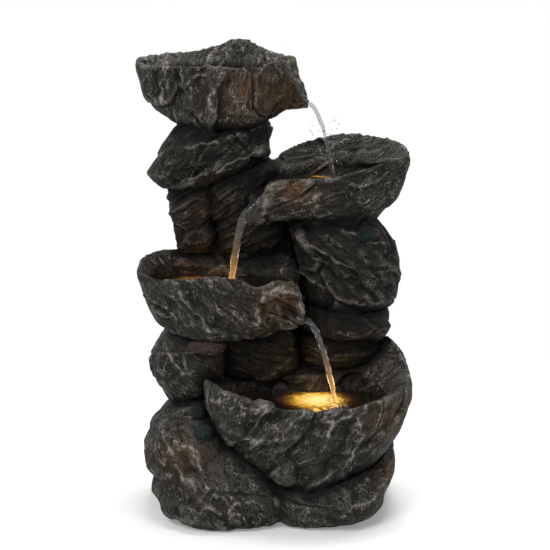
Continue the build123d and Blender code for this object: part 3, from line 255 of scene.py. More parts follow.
# Shared shader effects
def buildWeatherGroup():
    inputs = [("Deep", "NodeSocketColor", (0.008, 0.0073, 0.0062, 1)),
              ("Body", "NodeSocketColor", (0.037, 0.0338, 0.0282, 1)),
              ("Crest", "NodeSocketColor", (0.2, 0.19, 0.168, 1)),
              ("Vein", "NodeSocketColor", (0.42, 0.394, 0.34, 1)),
              ("Stain", "NodeSocketColor", (0.125, 0.064, 0.028, 1))]
    outputs = [("Color", "NodeSocketColor"), ("Roughness", "NodeSocketFloat"), ("Height", "NodeSocketFloat")]
    tree, given, result = shaderGroup("weatheredStone", inputs, outputs)
    place = put(tree, "ShaderNodeTexCoord").outputs["Object"]

    def mask(name):
        return put(tree, "ShaderNodeAttribute", attribute_name=name).outputs["Fac"]

    crest, swell, warm, wet = (mask(name) for name in ("crest", "swell", "warm", "wet"))
    vein, joint, top = (mask(name) for name in ("vein", "joint", "top"))
    flow = put(tree, "ShaderNodeAttribute", attribute_name="flow").outputs["Vector"]
    blotch = cloud(tree, place, 16.0, 4.0)
    patch = cloud(tree, place, 36.0, 3.0)
    grit = cloud(tree, place, 420.0, 3.0)
    speck = cloud(tree, flow, 130.0, 4.0)
    pit = ramp(tree, cloud(tree, flow, 210.0, 3.0), 0.34, 0.47)

    def threads(scale, width):
        weave = calc(tree, "SUBTRACT", calc(tree, "MULTIPLY", cloud(tree, flow, scale, 2.0), 2.0), 1.0)
        return ramp(tree, calc(tree, "ABSOLUTE", weave), 0.0, width, 1.0, 0.0)

    web = calc(tree, "MAXIMUM", threads(64.0, 0.034), calc(tree, "MULTIPLY", threads(140.0, 0.05), 0.4))

    # Mottled grey with dark pits and brown stains, and painted shade in the hollows and where one casting
    # meets the next
    mottle = calc(tree, "ADD", calc(tree, "MULTIPLY", blotch, 0.5), calc(tree, "MULTIPLY", speck, 0.5))
    mottle = calc(tree, "ADD", mottle, calc(tree, "SUBTRACT", grit, 0.5))
    colour = blendColour(tree, ramp(tree, mottle, 0.36, 0.66), given["Deep"], given["Body"])
    stained = calc(tree, "MULTIPLY", warm, ramp(tree, speck, 0.3, 0.6, 0.35, 1.0))
    colour = blendColour(tree, stained, colour, given["Stain"])
    # Painted shade: darker in the hollows of the skin and near the next casting
    hollow = ramp(tree, swell, -3.0, 0.5, 0.22, 1.0)
    shadeAndPits = calc(tree, "MULTIPLY", hollow, ramp(tree, joint, 0.0, 0.9, 1.0, 0.08))
    shadeAndPits = calc(tree, "MULTIPLY", shadeAndPits, ramp(tree, pit, 0.0, 1.0, 0.4, 1.0))
    colour = blendColour(tree, 1.0, colour, shadeAndPits, "MULTIPLY")

    # Dry brushing: a broken pale film on what stands up, a painted highlight on what faces up, and a web of
    # thin lines on the edges
    raised = calc(tree, "ADD", crest, calc(tree, "MULTIPLY", calc(tree, "SUBTRACT", speck, 0.5), 0.8))
    brushAndTopHighlight = calc(tree, "MULTIPLY", ramp(tree, raised, 0.06, 0.45), ramp(tree, patch, 0.4, 0.62, 0.2, 1.0))
    # Painted highlight: faces turned up are lighter, as if lit from above
    topHighlight = calc(tree, "MULTIPLY", top, ramp(tree, speck, 0.35, 0.62, 0.1, 0.8))
    brushAndTopHighlight = calc(tree, "MAXIMUM", brushAndTopHighlight, topHighlight)
    brushAndTopHighlight = calc(tree, "MULTIPLY", brushAndTopHighlight, ramp(tree, grit, 0.40, 0.58, 0.1, 0.55))
    lines = calc(tree, "MULTIPLY", web, ramp(tree, patch, 0.44, 0.6, 0.15, 1.0))
    lines = calc(tree, "MULTIPLY", lines, ramp(tree, crest, -0.3, 0.3, 0.12, 0.8))
    # Less pale film where the joints carry painted shade
    outsideJointShade = ramp(tree, joint, 0.1, 0.7, 1.0, 0.1)
    colour = blendColour(tree, calc(tree, "MULTIPLY", brushAndTopHighlight, outsideJointShade), colour, given["Crest"])
    colour = blendColour(tree, calc(tree, "MULTIPLY", lines, outsideJointShade), colour, given["Vein"])
    broken = calc(tree, "ADD", speck, calc(tree, "MULTIPLY", patch, 0.6))
    drawn = calc(tree, "MULTIPLY", vein, ramp(tree, broken, 0.66, 0.92, 0.0, 0.85))
    drawn = calc(tree, "MULTIPLY", drawn, ramp(tree, grit, 0.38, 0.56, 0.3, 1.0))
    colour = blendColour(tree, drawn, colour, given["Vein"])
    # Darker and glossier where water wets the stone; the same mask also carries painted shade under the third
    # bowl's arch
    colour = blendColour(tree, calc(tree, "MULTIPLY", wet, 0.5), colour, given["Deep"])
    feed(tree, result["Color"], colour)
    rough = ramp(tree, wet, 0.1, 0.9, 0.6, 0.24)
    feed(tree, result["Roughness"], calc(tree, "ADD", rough, calc(tree, "MULTIPLY", grit, 0.16)))
    height = calc(tree, "ADD", calc(tree, "MULTIPLY", grit, 0.7), calc(tree, "MULTIPLY", pit, 0.7))
    feed(tree, result["Height"], calc(tree, "ADD", height, calc(tree, "MULTIPLY", web, 0.35)))
    return tree


weatherGroup = buildWeatherGroup()


def stonePaint(name, **colours):
    material, tree, shader = newMaterial(name)
    shader.inputs["Specular IOR Level"].default_value = 0.12
    weather = put(tree, "ShaderNodeGroup", node_tree=weatherGroup)
    for label, value in colours.items():
        weather.inputs[label].default_value = (*value, 1)
    tree.links.new(weather.outputs["Color"], shader.inputs["Base Color"])
    tree.links.new(weather.outputs["Roughness"], shader.inputs["Roughness"])
    height = weather.outputs["Height"]
    bump = put(tree, "ShaderNodeBump", {"Strength": 0.6, "Distance": 0.0014, "Height": height})
    tree.links.new(bump.outputs[0], shader.inputs["Normal"])
    return material


charcoalStone = stonePaint("charcoalStone")
paleStone = stonePaint("paleStone", Body=(0.047, 0.0434, 0.0369), Crest=(0.24, 0.228, 0.2))
# Darker copies of the stone for pieces that sit in shade: painted shade
shadowStone = stonePaint("shadowStone", Body=(0.013, 0.0119, 0.0097), Crest=(0.14, 0.13, 0.112),
                         Vein=(0.26, 0.242, 0.207))
recessShadeStone = stonePaint("recessShadeStone", Body=(0.015, 0.0126, 0.0096), Crest=(0.1, 0.087, 0.068),
                         Vein=(0.2, 0.174, 0.136))
redPebble = stonePaint("redPebble", Deep=(0.03, 0.019, 0.017), Body=(0.085, 0.055, 0.049),
                       Crest=(0.13, 0.095, 0.083), Vein=(0.14, 0.1, 0.09))
darkPebble = stonePaint("darkPebble", Deep=(0.006, 0.009, 0.009), Body=(0.018, 0.026, 0.027),
                        Crest=(0.042, 0.052, 0.05), Vein=(0.045, 0.056, 0.054))


def buildGrainGroup():
    inputs = [("Tint", "NodeSocketColor", (0.5, 0.5, 0.5, 1)), ("Vary", "NodeSocketFloat", 0.2),
              ("Scale", "NodeSocketFloat", 300.0), ("Rough", "NodeSocketFloat", 0.4),
              ("Spread", "NodeSocketFloat", 0.15)]
    outputs = [("Color", "NodeSocketColor"), ("Roughness", "NodeSocketFloat"), ("Height", "NodeSocketFloat")]
    tree, given, result = shaderGroup("mouldedGrain", inputs, outputs)
    place = put(tree, "ShaderNodeTexCoord").outputs["Object"]
    fine = cloud(tree, place, given["Scale"], 3.0)
    wide = cloud(tree, place, calc(tree, "MULTIPLY", given["Scale"], 0.08), 3.0)
    mixed = calc(tree, "SUBTRACT", calc(tree, "ADD", fine, wide), 1.0)
    light = calc(tree, "ADD", 1.0, calc(tree, "MULTIPLY", mixed, given["Vary"]))
    feed(tree, result["Color"], blendColour(tree, 1.0, given["Tint"], light, "MULTIPLY"))
    spread = calc(tree, "MULTIPLY", mixed, given["Spread"])
    feed(tree, result["Roughness"], calc(tree, "ADD", given["Rough"], spread, clamp=True))
    feed(tree, result["Height"], fine)
    return tree


grainGroup = buildGrainGroup()


def grainPaint(name, tint, rough, scale=300.0, vary=0.25, spread=0.2, bump=0.12, **sockets):
    material, tree, shader = newMaterial(name, **sockets)
    grain = put(tree, "ShaderNodeGroup", node_tree=grainGroup)
    looks = {"Tint": (*tint, 1), "Vary": vary, "Scale": scale, "Rough": rough, "Spread": spread}
    for label, value in looks.items():
        grain.inputs[label].default_value = value
    tree.links.new(grain.outputs["Color"], shader.inputs["Base Color"])
    tree.links.new(grain.outputs["Roughness"], shader.inputs["Roughness"])
    height = grain.outputs["Height"]
    relief = put(tree, "ShaderNodeBump", {"Strength": bump, "Distance": 0.0004, "Height": height})
    tree.links.new(relief.outputs[0], shader.inputs["Normal"])
    return material


# Finishes of the pieces that keep their CAD shape, one for each slot of the record
finishes = {
    "black_rubber": grainPaint("blackRubber", (0.018, 0.018, 0.018), 0.7),
    "clear_rubber": grainPaint("paleSilicone", (0.55, 0.56, 0.55), 0.35, vary=0.1),
    "magnet": grainPaint("nickelMagnet", (0.62, 0.6, 0.56), 0.25, scale=900.0, Metallic=1.0),
    "stainless_steel": grainPaint("brushedSteel", (0.4, 0.4, 0.39), 0.38, scale=1200.0, Metallic=1.0),
    "brass": grainPaint("plugBrass", (0.72, 0.5, 0.2), 0.28, scale=900.0, Metallic=1.0),
    "ceramic": grainPaint("ceramicShaft", (0.78, 0.77, 0.72), 0.2, vary=0.08),
    "black_plastic": grainPaint("blackPlastic", (0.02, 0.02, 0.021), 0.42),
    "tub_plastic": grainPaint("tubPlastic", (0.035, 0.036, 0.038), 0.5),
    "pump_plastic": grainPaint("pumpPlastic", (0.022, 0.023, 0.026), 0.38),
    "impeller_plastic": grainPaint("impellerPlastic", (0.62, 0.63, 0.6), 0.4, vary=0.1),
    "dial_plastic": grainPaint("dialPlastic", (0.32, 0.04, 0.011), 0.4),
    "hose_vinyl": grainPaint("hoseVinyl", (0.42, 0.44, 0.42), 0.22, vary=0.12),
    "cable_sheath": grainPaint("cableSheath", (0.016, 0.016, 0.017), 0.45),
    "plug_plastic": grainPaint("plugPlastic", (0.018, 0.018, 0.019), 0.4),
    "tie_plastic": grainPaint("tiePlastic", (0.02, 0.02, 0.02), 0.5),
    "circuit_board": grainPaint("circuitBoard", (0.6, 0.6, 0.54), 0.4, vary=0.1)}
lensPaint, tree, lensShader = newMaterial("warmLens", Base_Color=(1.0, 0.72, 0.3, 1), Roughness=0.15)
lensShader.inputs["Emission Color"].default_value = (1.0, 0.62, 0.18, 1)
lensShader.inputs["Emission Strength"].default_value = 2.2
finishes["lens"] = lensPaint

nodeSlots = {entry["node"]: entry["material_slot"] for entry in frame["record"]["subparts"]}
for name, label in nodeSlots.items():
    if label in finishes:
        paint(nodes[name], finishes[label])
paint(mainsCord, finishes["cable_sheath"])
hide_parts("power_cord", "cord_coil")
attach(mainsCord, "root")
print("stage: finishes", len(finishes))


# Rock relief on each casting's own solid: slabs, bedding ledges, folds and scratches along the grain
reliefInputs = [
    ("Bed", "NodeSocketVector", (0.0, 0.0, 1.0)), ("Grain", "NodeSocketVector", (1.0, 0.0, 0.0)),
    ("Facet Size", "NodeSocketFloat", 0.09), ("Facet Depth", "NodeSocketFloat", 0.16),
    ("Ledge Size", "NodeSocketFloat", 0.020), ("Ledge Depth", "NodeSocketFloat", 0.002),
    ("Fold Size", "NodeSocketFloat", 0.045), ("Fold Depth", "NodeSocketFloat", 0.004),
    ("Scratch Size", "NodeSocketFloat", 0.008), ("Scratch Depth", "NodeSocketFloat", 0.0009),
    ("Crack Depth", "NodeSocketFloat", 0.0015), ("Grit Depth", "NodeSocketFloat", 0.0006),
    ("Seed", "NodeSocketFloat", 0.0)]


def ridged(tree, place, size, detail, seed, sharp):
    wave = cloud(tree, place, calc(tree, "DIVIDE", 1.0, size), detail, seed)
    wave = calc(tree, "ABSOLUTE", calc(tree, "SUBTRACT", calc(tree, "MULTIPLY", wave, 2.0), 1.0))
    return calc(tree, "POWER", calc(tree, "SUBTRACT", 1.0, wave, clamp=True), sharp)


def buildReliefTree():
    tree, given = geometryGroup("weatheredRock", reliefInputs)
    position = put(tree, "GeometryNodeInputPosition").outputs[0]
    normal = put(tree, "GeometryNodeInputNormal").outputs[0]
    carve = put(tree, "GeometryNodeInputNamedAttribute", {"Name": "carve"}).outputs[0]
    seed = given["Seed"]

    sway = vec(tree, "SUBTRACT", cloud(tree, position, 11.0, 2.0, seed, 1), (0.5, 0.5, 0.5))
    warped = vec(tree, "ADD", position, vec(tree, "SCALE", sway, 0.035))
    along = vec(tree, "DOT_PRODUCT", warped, given["Bed"])
    flat = vec(tree, "ADD", warped, vec(tree, "SCALE", given["Bed"], calc(tree, "MULTIPLY", along, 0.7)))

    # Each cell tilts its own way, so the skin breaks into broad slabs
    scale = calc(tree, "DIVIDE", 1.0, given["Facet Size"])
    cells = put(tree, "ShaderNodeTexVoronoi", {"Vector": flat, "W": seed, "Scale": scale, "Smoothness": 0.22},
                voronoi_dimensions="4D", feature="SMOOTH_F1")
    lean = vec(tree, "SUBTRACT", cells.outputs["Color"], (0.5, 0.5, 0.5))
    facet = vec(tree, "DOT_PRODUCT", lean, vec(tree, "SUBTRACT", flat, cells.outputs["Position"]))
    facet = calc(tree, "MULTIPLY", facet, given["Facet Depth"])

    # Bedding: a slow rise and a quick fall along the bed, on parts of the skin
    wave = calc(tree, "ADD", calc(tree, "DIVIDE", along, given["Ledge Size"]),
                calc(tree, "MULTIPLY", cloud(tree, position, 14.0, 2.0, seed), 1.6))
    part = calc(tree, "FRACT", wave)
    saw = calc(tree, "SUBTRACT", ramp(tree, part, 0.0, 0.3), part)
    shown = ramp(tree, cloud(tree, position, 8.0, 1.0, calc(tree, "ADD", seed, 7.0)), 0.42, 0.60)
    ledge = calc(tree, "MULTIPLY", calc(tree, "MULTIPLY", saw, shown), given["Ledge Depth"])

    # Folds and finer marks drawn out along the grain
    run = vec(tree, "DOT_PRODUCT", warped, given["Grain"])

    def stretched(share):
        back = vec(tree, "SCALE", given["Grain"], calc(tree, "MULTIPLY", run, share))
        return vec(tree, "SUBTRACT", warped, back)

    drawn = stretched(0.7)
    fold = calc(tree, "SUBTRACT", ridged(tree, drawn, given["Fold Size"], 1.0, seed, 1.6), 0.6)
    rough = calc(tree, "ADD", facet, ledge)
    rough = calc(tree, "ADD", rough, calc(tree, "MULTIPLY", fold, given["Fold Depth"]))
    broken = put(tree, "GeometryNodeSetPosition",
                 {"Geometry": given["Geometry"],
                  "Offset": vec(tree, "SCALE", normal, calc(tree, "MULTIPLY", rough, carve))}).outputs[0]
    thin = stretched(0.55)
    scratch = ridged(tree, thin, given["Scratch Size"], 3.0, calc(tree, "ADD", seed, 2.0), 3.0)
    scratch = calc(tree, "SUBTRACT", scratch, 0.35)
    crackSize = calc(tree, "MULTIPLY", given["Fold Size"], 0.9)
    crack = ridged(tree, drawn, crackSize, 3.0, calc(tree, "ADD", seed, 3.0), 22.0)
    grit = calc(tree, "SUBTRACT", cloud(tree, position, 160.0, 4.0, seed), 0.5)
    fine = calc(tree, "ADD", calc(tree, "MULTIPLY", scratch, given["Scratch Depth"]),
                calc(tree, "MULTIPLY", grit, given["Grit Depth"]))
    fine = calc(tree, "SUBTRACT", fine, calc(tree, "MULTIPLY", crack, given["Crack Depth"]))
    carved = put(tree, "GeometryNodeSetPosition",
                 {"Geometry": broken,
                  "Offset": vec(tree, "SCALE", normal, calc(tree, "MULTIPLY", fine, carve))}).outputs[0]

    # Height over the smoothed skin, in mm, for dry brushing and for the painted shade in the hollows
    for label, rounds in (("crest", 4), ("swell", 30)):
        smooth = put(tree, "GeometryNodeBlurAttribute", data_type="FLOAT_VECTOR")
        feed(tree, smooth.inputs["Value"], position)
        smooth.inputs["Iterations"].default_value = rounds
        over = vec(tree, "SUBTRACT", position, smooth.outputs["Value"])
        height = calc(tree, "MULTIPLY", vec(tree, "DOT_PRODUCT", over, normal), 1000.0)
        carved = put(tree, "GeometryNodeStoreNamedAttribute",
                     {"Geometry": carved, "Name": label, "Value": height}, domain="POINT").outputs[0]
    carved = put(tree, "GeometryNodeStoreNamedAttribute", {"Geometry": carved, "Name": "flow"},
                 domain="POINT", data_type="FLOAT_VECTOR")
    feed(tree, carved.inputs["Value"], thin)
    whole = put(tree, "GeometryNodeRealizeInstances", {"Geometry": carved.outputs[0]}).outputs[0]
    done = put(tree, "GeometryNodeSetMaterial", {"Geometry": whole, "Material": given["Finish"]}).outputs[0]
    put(tree, "NodeGroupOutput", {"Geometry": done})
    return tree


reliefTree = buildReliefTree()


def runTree(obj, tree, values):
    modifier = obj.modifiers.new(tree.name, "NODES")
    modifier.node_group = tree
    sockets = {item.name: item.identifier for item in tree.interface.items_tree if item.in_out == "INPUT"}
    for label, value in values.items():
        modifier[sockets[label]] = value


def settle(obj):
    graph = bpy.context.evaluated_depsgraph_get()
    mesh = bpy.data.meshes.new_from_object(obj.evaluated_get(graph), depsgraph=graph)
    obj.modifiers.clear()
    old = obj.data
    obj.data = mesh
    bpy.data.meshes.remove(old)


def solidCopy(names):
    work = bmesh.new()
    for name in names:
        work.from_mesh(nodes[name].data)
    bmesh.ops.remove_doubles(work, verts=work.verts, dist=1e-6)
    mesh = bpy.data.meshes.new(names[0] + "Rock")
    work.to_mesh(mesh)
    work.free()
    obj = bpy.data.objects.new(names[0] + "Rock", mesh)
    scene.collection.objects.link(obj)
    return obj


def meshArrays(mesh):
    points = np.empty(len(mesh.vertices) * 3)
    mesh.vertices.foreach_get("co", points)
    normals = np.empty(len(mesh.vertices) * 3)
    mesh.vertex_normals.foreach_get("vector", normals)
    return points.reshape(-1, 3), normals.reshape(-1, 3)


def setFloat(mesh, name, values):
    layer = mesh.attributes.get(name) or mesh.attributes.new(name, "FLOAT", "POINT")
    layer.data.foreach_set("value", np.asarray(values, dtype=np.float32))


# How strokes shake and fade to the sides, how rays find a hidden skin, how edges wear, how far splashes wet
# a wall, and what counts as facing up for the painted highlight on top faces
handwork = {"shake": ((1.6, 7.3, 8.1), (1.1, 3.1, 3.4)), "veinWidth": 1.5, "frontTo": 400, "sideFade": 1.6,
            "rayStart": 4.0, "rayLean": 0.8, "rayHits": 5, "wearShare": 0.5, "splashReach": 18.0,
            "splashWet": 0.75, "floorRoom": 4.0, "levelFrom": 0.8, "topHighlightFade": (1.5, 0.5)}


def lineDistance(flat, path):
    best = np.full(len(flat), 1e9)
    for first, second in zip(path, path[1:]):
        first = np.array(first) * mm
        leg = np.array(second) * mm - first
        share = np.clip(((flat - first) @ leg) / (leg @ leg), 0, 1)
        best = np.minimum(best, np.linalg.norm(flat - first - share[:, None] * leg, axis=1))
    return best


def handStrokes(mesh, look):
    points, normals = meshArrays(mesh)
    lift = np.zeros(len(points))
    vein = np.zeros(len(points))
    facing = np.clip(-normals[:, 1] * handwork["sideFade"], 0, 1)
    facing *= points[:, 1] < look.get("frontTo", handwork["frontTo"]) * mm
    across, up = points[:, 0] / mm, points[:, 2] / mm
    (broad, broadUp, broadAcross), (small, smallUp, smallAcross) = handwork["shake"]
    shakeX = broad * np.sin(up / broadUp + 1) + small * np.sin(up / smallUp)
    shakeZ = broad * np.sin(across / broadAcross) + small * np.sin(across / smallAcross + 2)
    shaken = np.stack([points[:, 0] + shakeX * mm, points[:, 2] + shakeZ * mm], axis=1)
    for width, height, path in look.get("strokes", ()):
        away = lineDistance(shaken, path) / (width * mm)
        lift += height * mm * facing * np.exp(-away ** 2)
        if height > 0:
            vein = np.maximum(vein, facing * np.exp(-(away * width / handwork["veinWidth"]) ** 2))
    for x, y, z, radius, height in look.get("lumps", ()):
        away = np.linalg.norm(points - np.array((x, y, z)) * mm, axis=1) / (radius * mm)
        lift += height * mm * np.exp(-away ** 2)
    points += normals * lift[:, None]
    mesh.vertices.foreach_set("co", points.ravel())
    mesh.update()
    setFloat(mesh, "vein", vein)


def dropCrumbs(mesh, fewest):
    work = bmesh.new()
    work.from_mesh(mesh)
    loose = set(work.verts)
    crumbs = []
    while loose:
        shell = [loose.pop()]
        for vert in shell:
            fresh = [edge.other_vert(vert) for edge in vert.link_edges if edge.other_vert(vert) in loose]
            loose.difference_update(fresh)
            shell.extend(fresh)
        if len(shell) < fewest:
            crumbs += shell
    bmesh.ops.delete(work, geom=crumbs, context="VERTS")
    work.to_mesh(mesh)
    work.free()


def wearEdges(mesh, rounds, share):
    points = meshArrays(mesh)[0]
    ends = np.empty(len(mesh.edges) * 2, dtype=np.int32)
    mesh.edges.foreach_get("vertices", ends)
    ends = ends.reshape(-1, 2)
    here = np.concatenate([ends[:, 0], ends[:, 1]])
    there = np.concatenate([ends[:, 1], ends[:, 0]])
    count = np.bincount(here, minlength=len(points))
    for step in range(rounds):
        middle = [np.bincount(here, points[there, axis], len(points)) / count for axis in range(3)]
        points += (np.stack(middle, axis=1) - points) * handwork["wearShare"] * share[:, None]
    mesh.vertices.foreach_set("co", points.ravel())
    mesh.update()


def hiddenInside(mesh):
    points, normals = meshArrays(mesh)
    tree = BVHTree.FromPolygons([tuple(point) for point in points],
                                [tuple(face.vertices) for face in mesh.polygons])
    hidden = np.zeros(len(points))
    ways = ((0, 0, 0), (1, 0, 0), (-1, 0, 0), (0, 1, 0), (0, -1, 0), (0, 0, 1))
    leans = [Vector(way) * handwork["rayLean"] for way in ways]
    for place in range(len(points)):
        normal = Vector(normals[place])
        start = Vector(points[place]) + normal * (handwork["rayStart"] * mm)
        hits = sum(tree.ray_cast(start, normal + lean)[0] is not None for lean in leans)
        hidden[place] = hits >= handwork["rayHits"]
    return hidden


def softSpots(points, spots):
    total = np.zeros(len(points))
    for x, y, z, radius, strength in spots:
        away = np.linalg.norm(points - np.array((x, y, z)) * mm, axis=1) / (radius * mm)
        total = np.maximum(total, strength * np.exp(-away ** 2))
    return total


def wetWalls(points, normals, look):
    if "hollow" not in look:
        return np.zeros(len(points))
    x, y, floor, brim = look["hollow"]
    inward = np.sum((np.array((x, y)) * mm - points[:, :2]) * normals[:, :2], axis=1) > 0
    up = points[:, 2] / mm
    depth = np.clip((brim - up) / handwork["splashReach"], 0, 1) * (up > floor - handwork["floorRoom"])
    return handwork["splashWet"] * depth * np.maximum(inward, normals[:, 2] > handwork["levelFrom"])


defaultLook = {"voxel": 2.1, "bed": (0, 0, 1), "grain": (1, 0, 0), "facet": (90, 0.2), "ledge": (20, 2.5),
               "fold": (60, 4.0), "scratch": (15, 1.2), "crack": 1.2, "grit": 0.5, "wear": 10, "crumb": 150,
               "lowest": 0.5}


def carveRock(*names, body="root", finish=None, **changes):
    look = {**defaultLook, **changes}
    obj = solidCopy(names)
    remesh = obj.modifiers.new("even skin", "REMESH")
    remesh.mode = "VOXEL"
    remesh.voxel_size = look["voxel"] * mm
    settle(obj)
    dropCrumbs(obj.data, look["crumb"])
    points, normals = meshArrays(obj.data)
    carve = 1 - hiddenInside(obj.data)
    for low, high, share in look.get("calm", ()):
        inside = np.all((points > np.array(low) * mm) & (points < np.array(high) * mm), axis=1)
        carve[inside] *= share
    wearEdges(obj.data, look["wear"], carve)
    handStrokes(obj.data, look)
    setFloat(obj.data, "carve", carve)
    values = {"Bed": Vector(look["bed"]).normalized(), "Grain": Vector(look["grain"]).normalized(),
              "Facet Size": look["facet"][0] * mm, "Facet Depth": look["facet"][1],
              "Ledge Size": look["ledge"][0] * mm, "Ledge Depth": look["ledge"][1] * mm,
              "Fold Size": look["fold"][0] * mm, "Fold Depth": look["fold"][1] * mm,
              "Scratch Size": look["scratch"][0] * mm, "Scratch Depth": look["scratch"][1] * mm,
              "Crack Depth": look["crack"] * mm, "Grit Depth": look["grit"] * mm,
              "Seed": float(look["seed"]), "Finish": finish or charcoalStone}
    runTree(obj, reliefTree, values)
    settle(obj)
    points, normals = meshArrays(obj.data)
    points[:, 2] = np.maximum(points[:, 2], look["lowest"] * mm)
    obj.data.vertices.foreach_set("co", points.ravel())
    # Faces turned up, which the stone paint lightens as a painted highlight
    steep, start = handwork["topHighlightFade"]
    setFloat(obj.data, "top", np.clip(normals[:, 2] * steep - start, 0, 1))
    setFloat(obj.data, "warm", softSpots(points, look.get("warm", ())))
    wet = np.maximum(softSpots(points, look.get("wet", ())), wetWalls(points, normals, look))
    setFloat(obj.data, "wet", wet)
    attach(obj, body)
    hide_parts(*names)
    print("stage:", names[0], "triangles", 2 * len(obj.data.polygons))
    return obj


rocks = {}
rocks["top_bowl"] = carveRock(
    "top_bowl", seed=1, finish=paleStone, voxel=2.0, wear=18, hollow=(-85, 62, 690, 756), bed=(1, 0, 0),
    grain=(0.1, 0, 1), ledge=(20, 0.0), fold=(40, 4.0), frontTo=60,
    strokes=[(5, 2.0, [(-178, 757), (-179, 696)]), (4, 2.0, [(-171, 758), (-170, 722)]),
             (5, 2.0, [(-151, 755), (-142, 714)]), (5, 2.0, [(-138, 755), (-131, 708)]),
             (9, -5.0, [(-160, 752), (-158, 715)]), (8, -5.0, [(-188, 752), (-188, 709)]),
             (6, 2.5, [(-75, 745), (-93, 722), (-102, 709), (-93, 680)]),
             (11, -4.0, [(-118, 735), (-114, 690)])],
    lumps=[(-203, 70, 760, 14, -6), (-175, 115, 772, 22, 5), (26, 0, 757, 18, 5), (-16, -20, 752, 16, -5)],
    warm=[(20, 0, 690, 45, 0.8), (-40, -20, 715, 45, 0.6)], wet=[(50, 32, 710, 40, 1.0)],
    calm=[((-85, 50, 680), (-25, 120, 705), 0.2)])
rocks["upper_rock"] = carveRock(
    "upper_rock", seed=2, finish=shadowStone, bed=(-0.6, 0, 0.8), grain=(0.8, 0, 0.6), facet=(80, 0.3),
    frontTo=60, strokes=[(5, 2.5, [(-189, 595), (-156, 617), (-111, 627), (-61, 637), (-13, 655)]),
                         (9, -4.0, [(-166, 573), (-111, 598), (-53, 617), (-17, 627)]),
                         (5, 2.5, [(-153, 563), (-103, 580), (-50, 603), (-23, 613)])])
rocks["neck_left_rock"] = carveRock(
    "neck_left_rock", seed=3, finish=recessShadeStone, bed=(-0.5, 0, 0.86), grain=(0.86, 0, 0.5), ledge=(16, 5.0))
rocks["neck_slab"] = carveRock(
    "neck_slab", seed=4, finish=recessShadeStone, bed=(-0.5, 0, 0.86), grain=(0.86, 0, 0.5), ledge=(16, 4.0))
rocks["second_bowl"] = carveRock(
    "second_bowl", seed=5, voxel=2.0, wear=14, hollow=(105, 27, 534, 590), bed=(-0.3, 0, 0.95),
    grain=(0.95, 0, 0.3), ledge=(20, 1.0), frontTo=20,
    strokes=[(8, 7.0, [(93, 575), (42, 585), (22, 583), (6, 565), (-6, 547), (-18, 515)]),
             (7, 5.0, [(-10, 609), (-18, 585), (-32, 562), (-34, 536)]),
             (10, -7.0, [(-4, 575), (-20, 540)]),
             (6, 2.0, [(20, 543), (52, 537), (82, 553)]), (12, -5.0, [(30, 561), (54, 558), (79, 565)])],
    warm=[(40, -60, 558, 30, 0.8), (-15, -30, 545, 25, 0.6)], wet=[(-20, -25, 535, 35, 1.0)])
rocks["third_bowl"] = carveRock(
    "third_bowl", seed=6, voxel=2.0, wear=14, hollow=(-85, -5, 348, 420), bed=(0.3, 0, 0.95),
    grain=(0.6, 0, -0.8), ledge=(20, 1.0), frontTo=0,
    strokes=[(7, 3.0, [(-160, 400), (-138, 365), (-103, 326)]),
             (11, -6.0, [(-154, 406), (-122, 369), (-90, 344)]),
             (8, 6.0, [(-24, 340), (-23, 372), (-13, 392), (6, 405), (26, 400), (43, 382), (50, 352)]),
             (14, -15.0, [(0, 342), (12, 372), (27, 348)])],
    # The second spot of this list darkens the hollow under the spout arch: painted shade
    warm=[(10, -80, 365, 38, 0.8)], wet=[(50, -34, 350, 22, 1.0), (12, -78, 345, 16, 0.7)])
rocks["right_rock"] = carveRock(
    "right_rock", seed=7, finish=shadowStone, bed=(0.57, 0, 0.82), grain=(0.82, 0, -0.57), facet=(90, 0.3),
    ledge=(24, 4.0), frontTo=60, strokes=[(6, 4.0, [(52, 472), (97, 441), (147, 417), (211, 414)]),
                                      (10, -7.0, [(57, 441), (107, 407), (161, 386), (201, 383)]),
                                      (6, 4.0, [(54, 407), (97, 379), (145, 360), (195, 362)]),
                                      (8, -5.0, [(97, 465), (150, 441), (204, 438)]),
                                      (5, 2.5, [(113, 485), (160, 468), (204, 455)])])
rocks["shelf_rock"] = carveRock(
    "shelf_rock", seed=8, finish=recessShadeStone, bed=(0.25, 0, 0.97), grain=(0.97, 0, -0.25), ledge=(16, 5.0))
rocks["mid_left_rock"] = carveRock(
    "mid_left_rock", seed=9, bed=(0.3, 0, 0.95), grain=(0.7, 0, -0.7), frontTo=40,
    strokes=[(6, 2.5, [(-176, 281), (-169, 260), (-156, 246), (-139, 242)])])
rocks["mid_center_rock"] = carveRock(
    "mid_center_rock", seed=10, finish=recessShadeStone, bed=(0.2, 0, 0.98), grain=(0.9, 0, -0.4))
rocks["back_wall_rock"] = carveRock(
    "back_wall_rock", seed=11, finish=recessShadeStone, bed=(0.1, 0, 1), grain=(1, 0, 0.1), ledge=(20, 5.0))
rocks["rear_column"] = carveRock("rear_column", seed=12, voxel=2.4, bed=(0.2, 0, 0.98), grain=(0.3, 0, 0.95),
                                 facet=(95, 0.3))
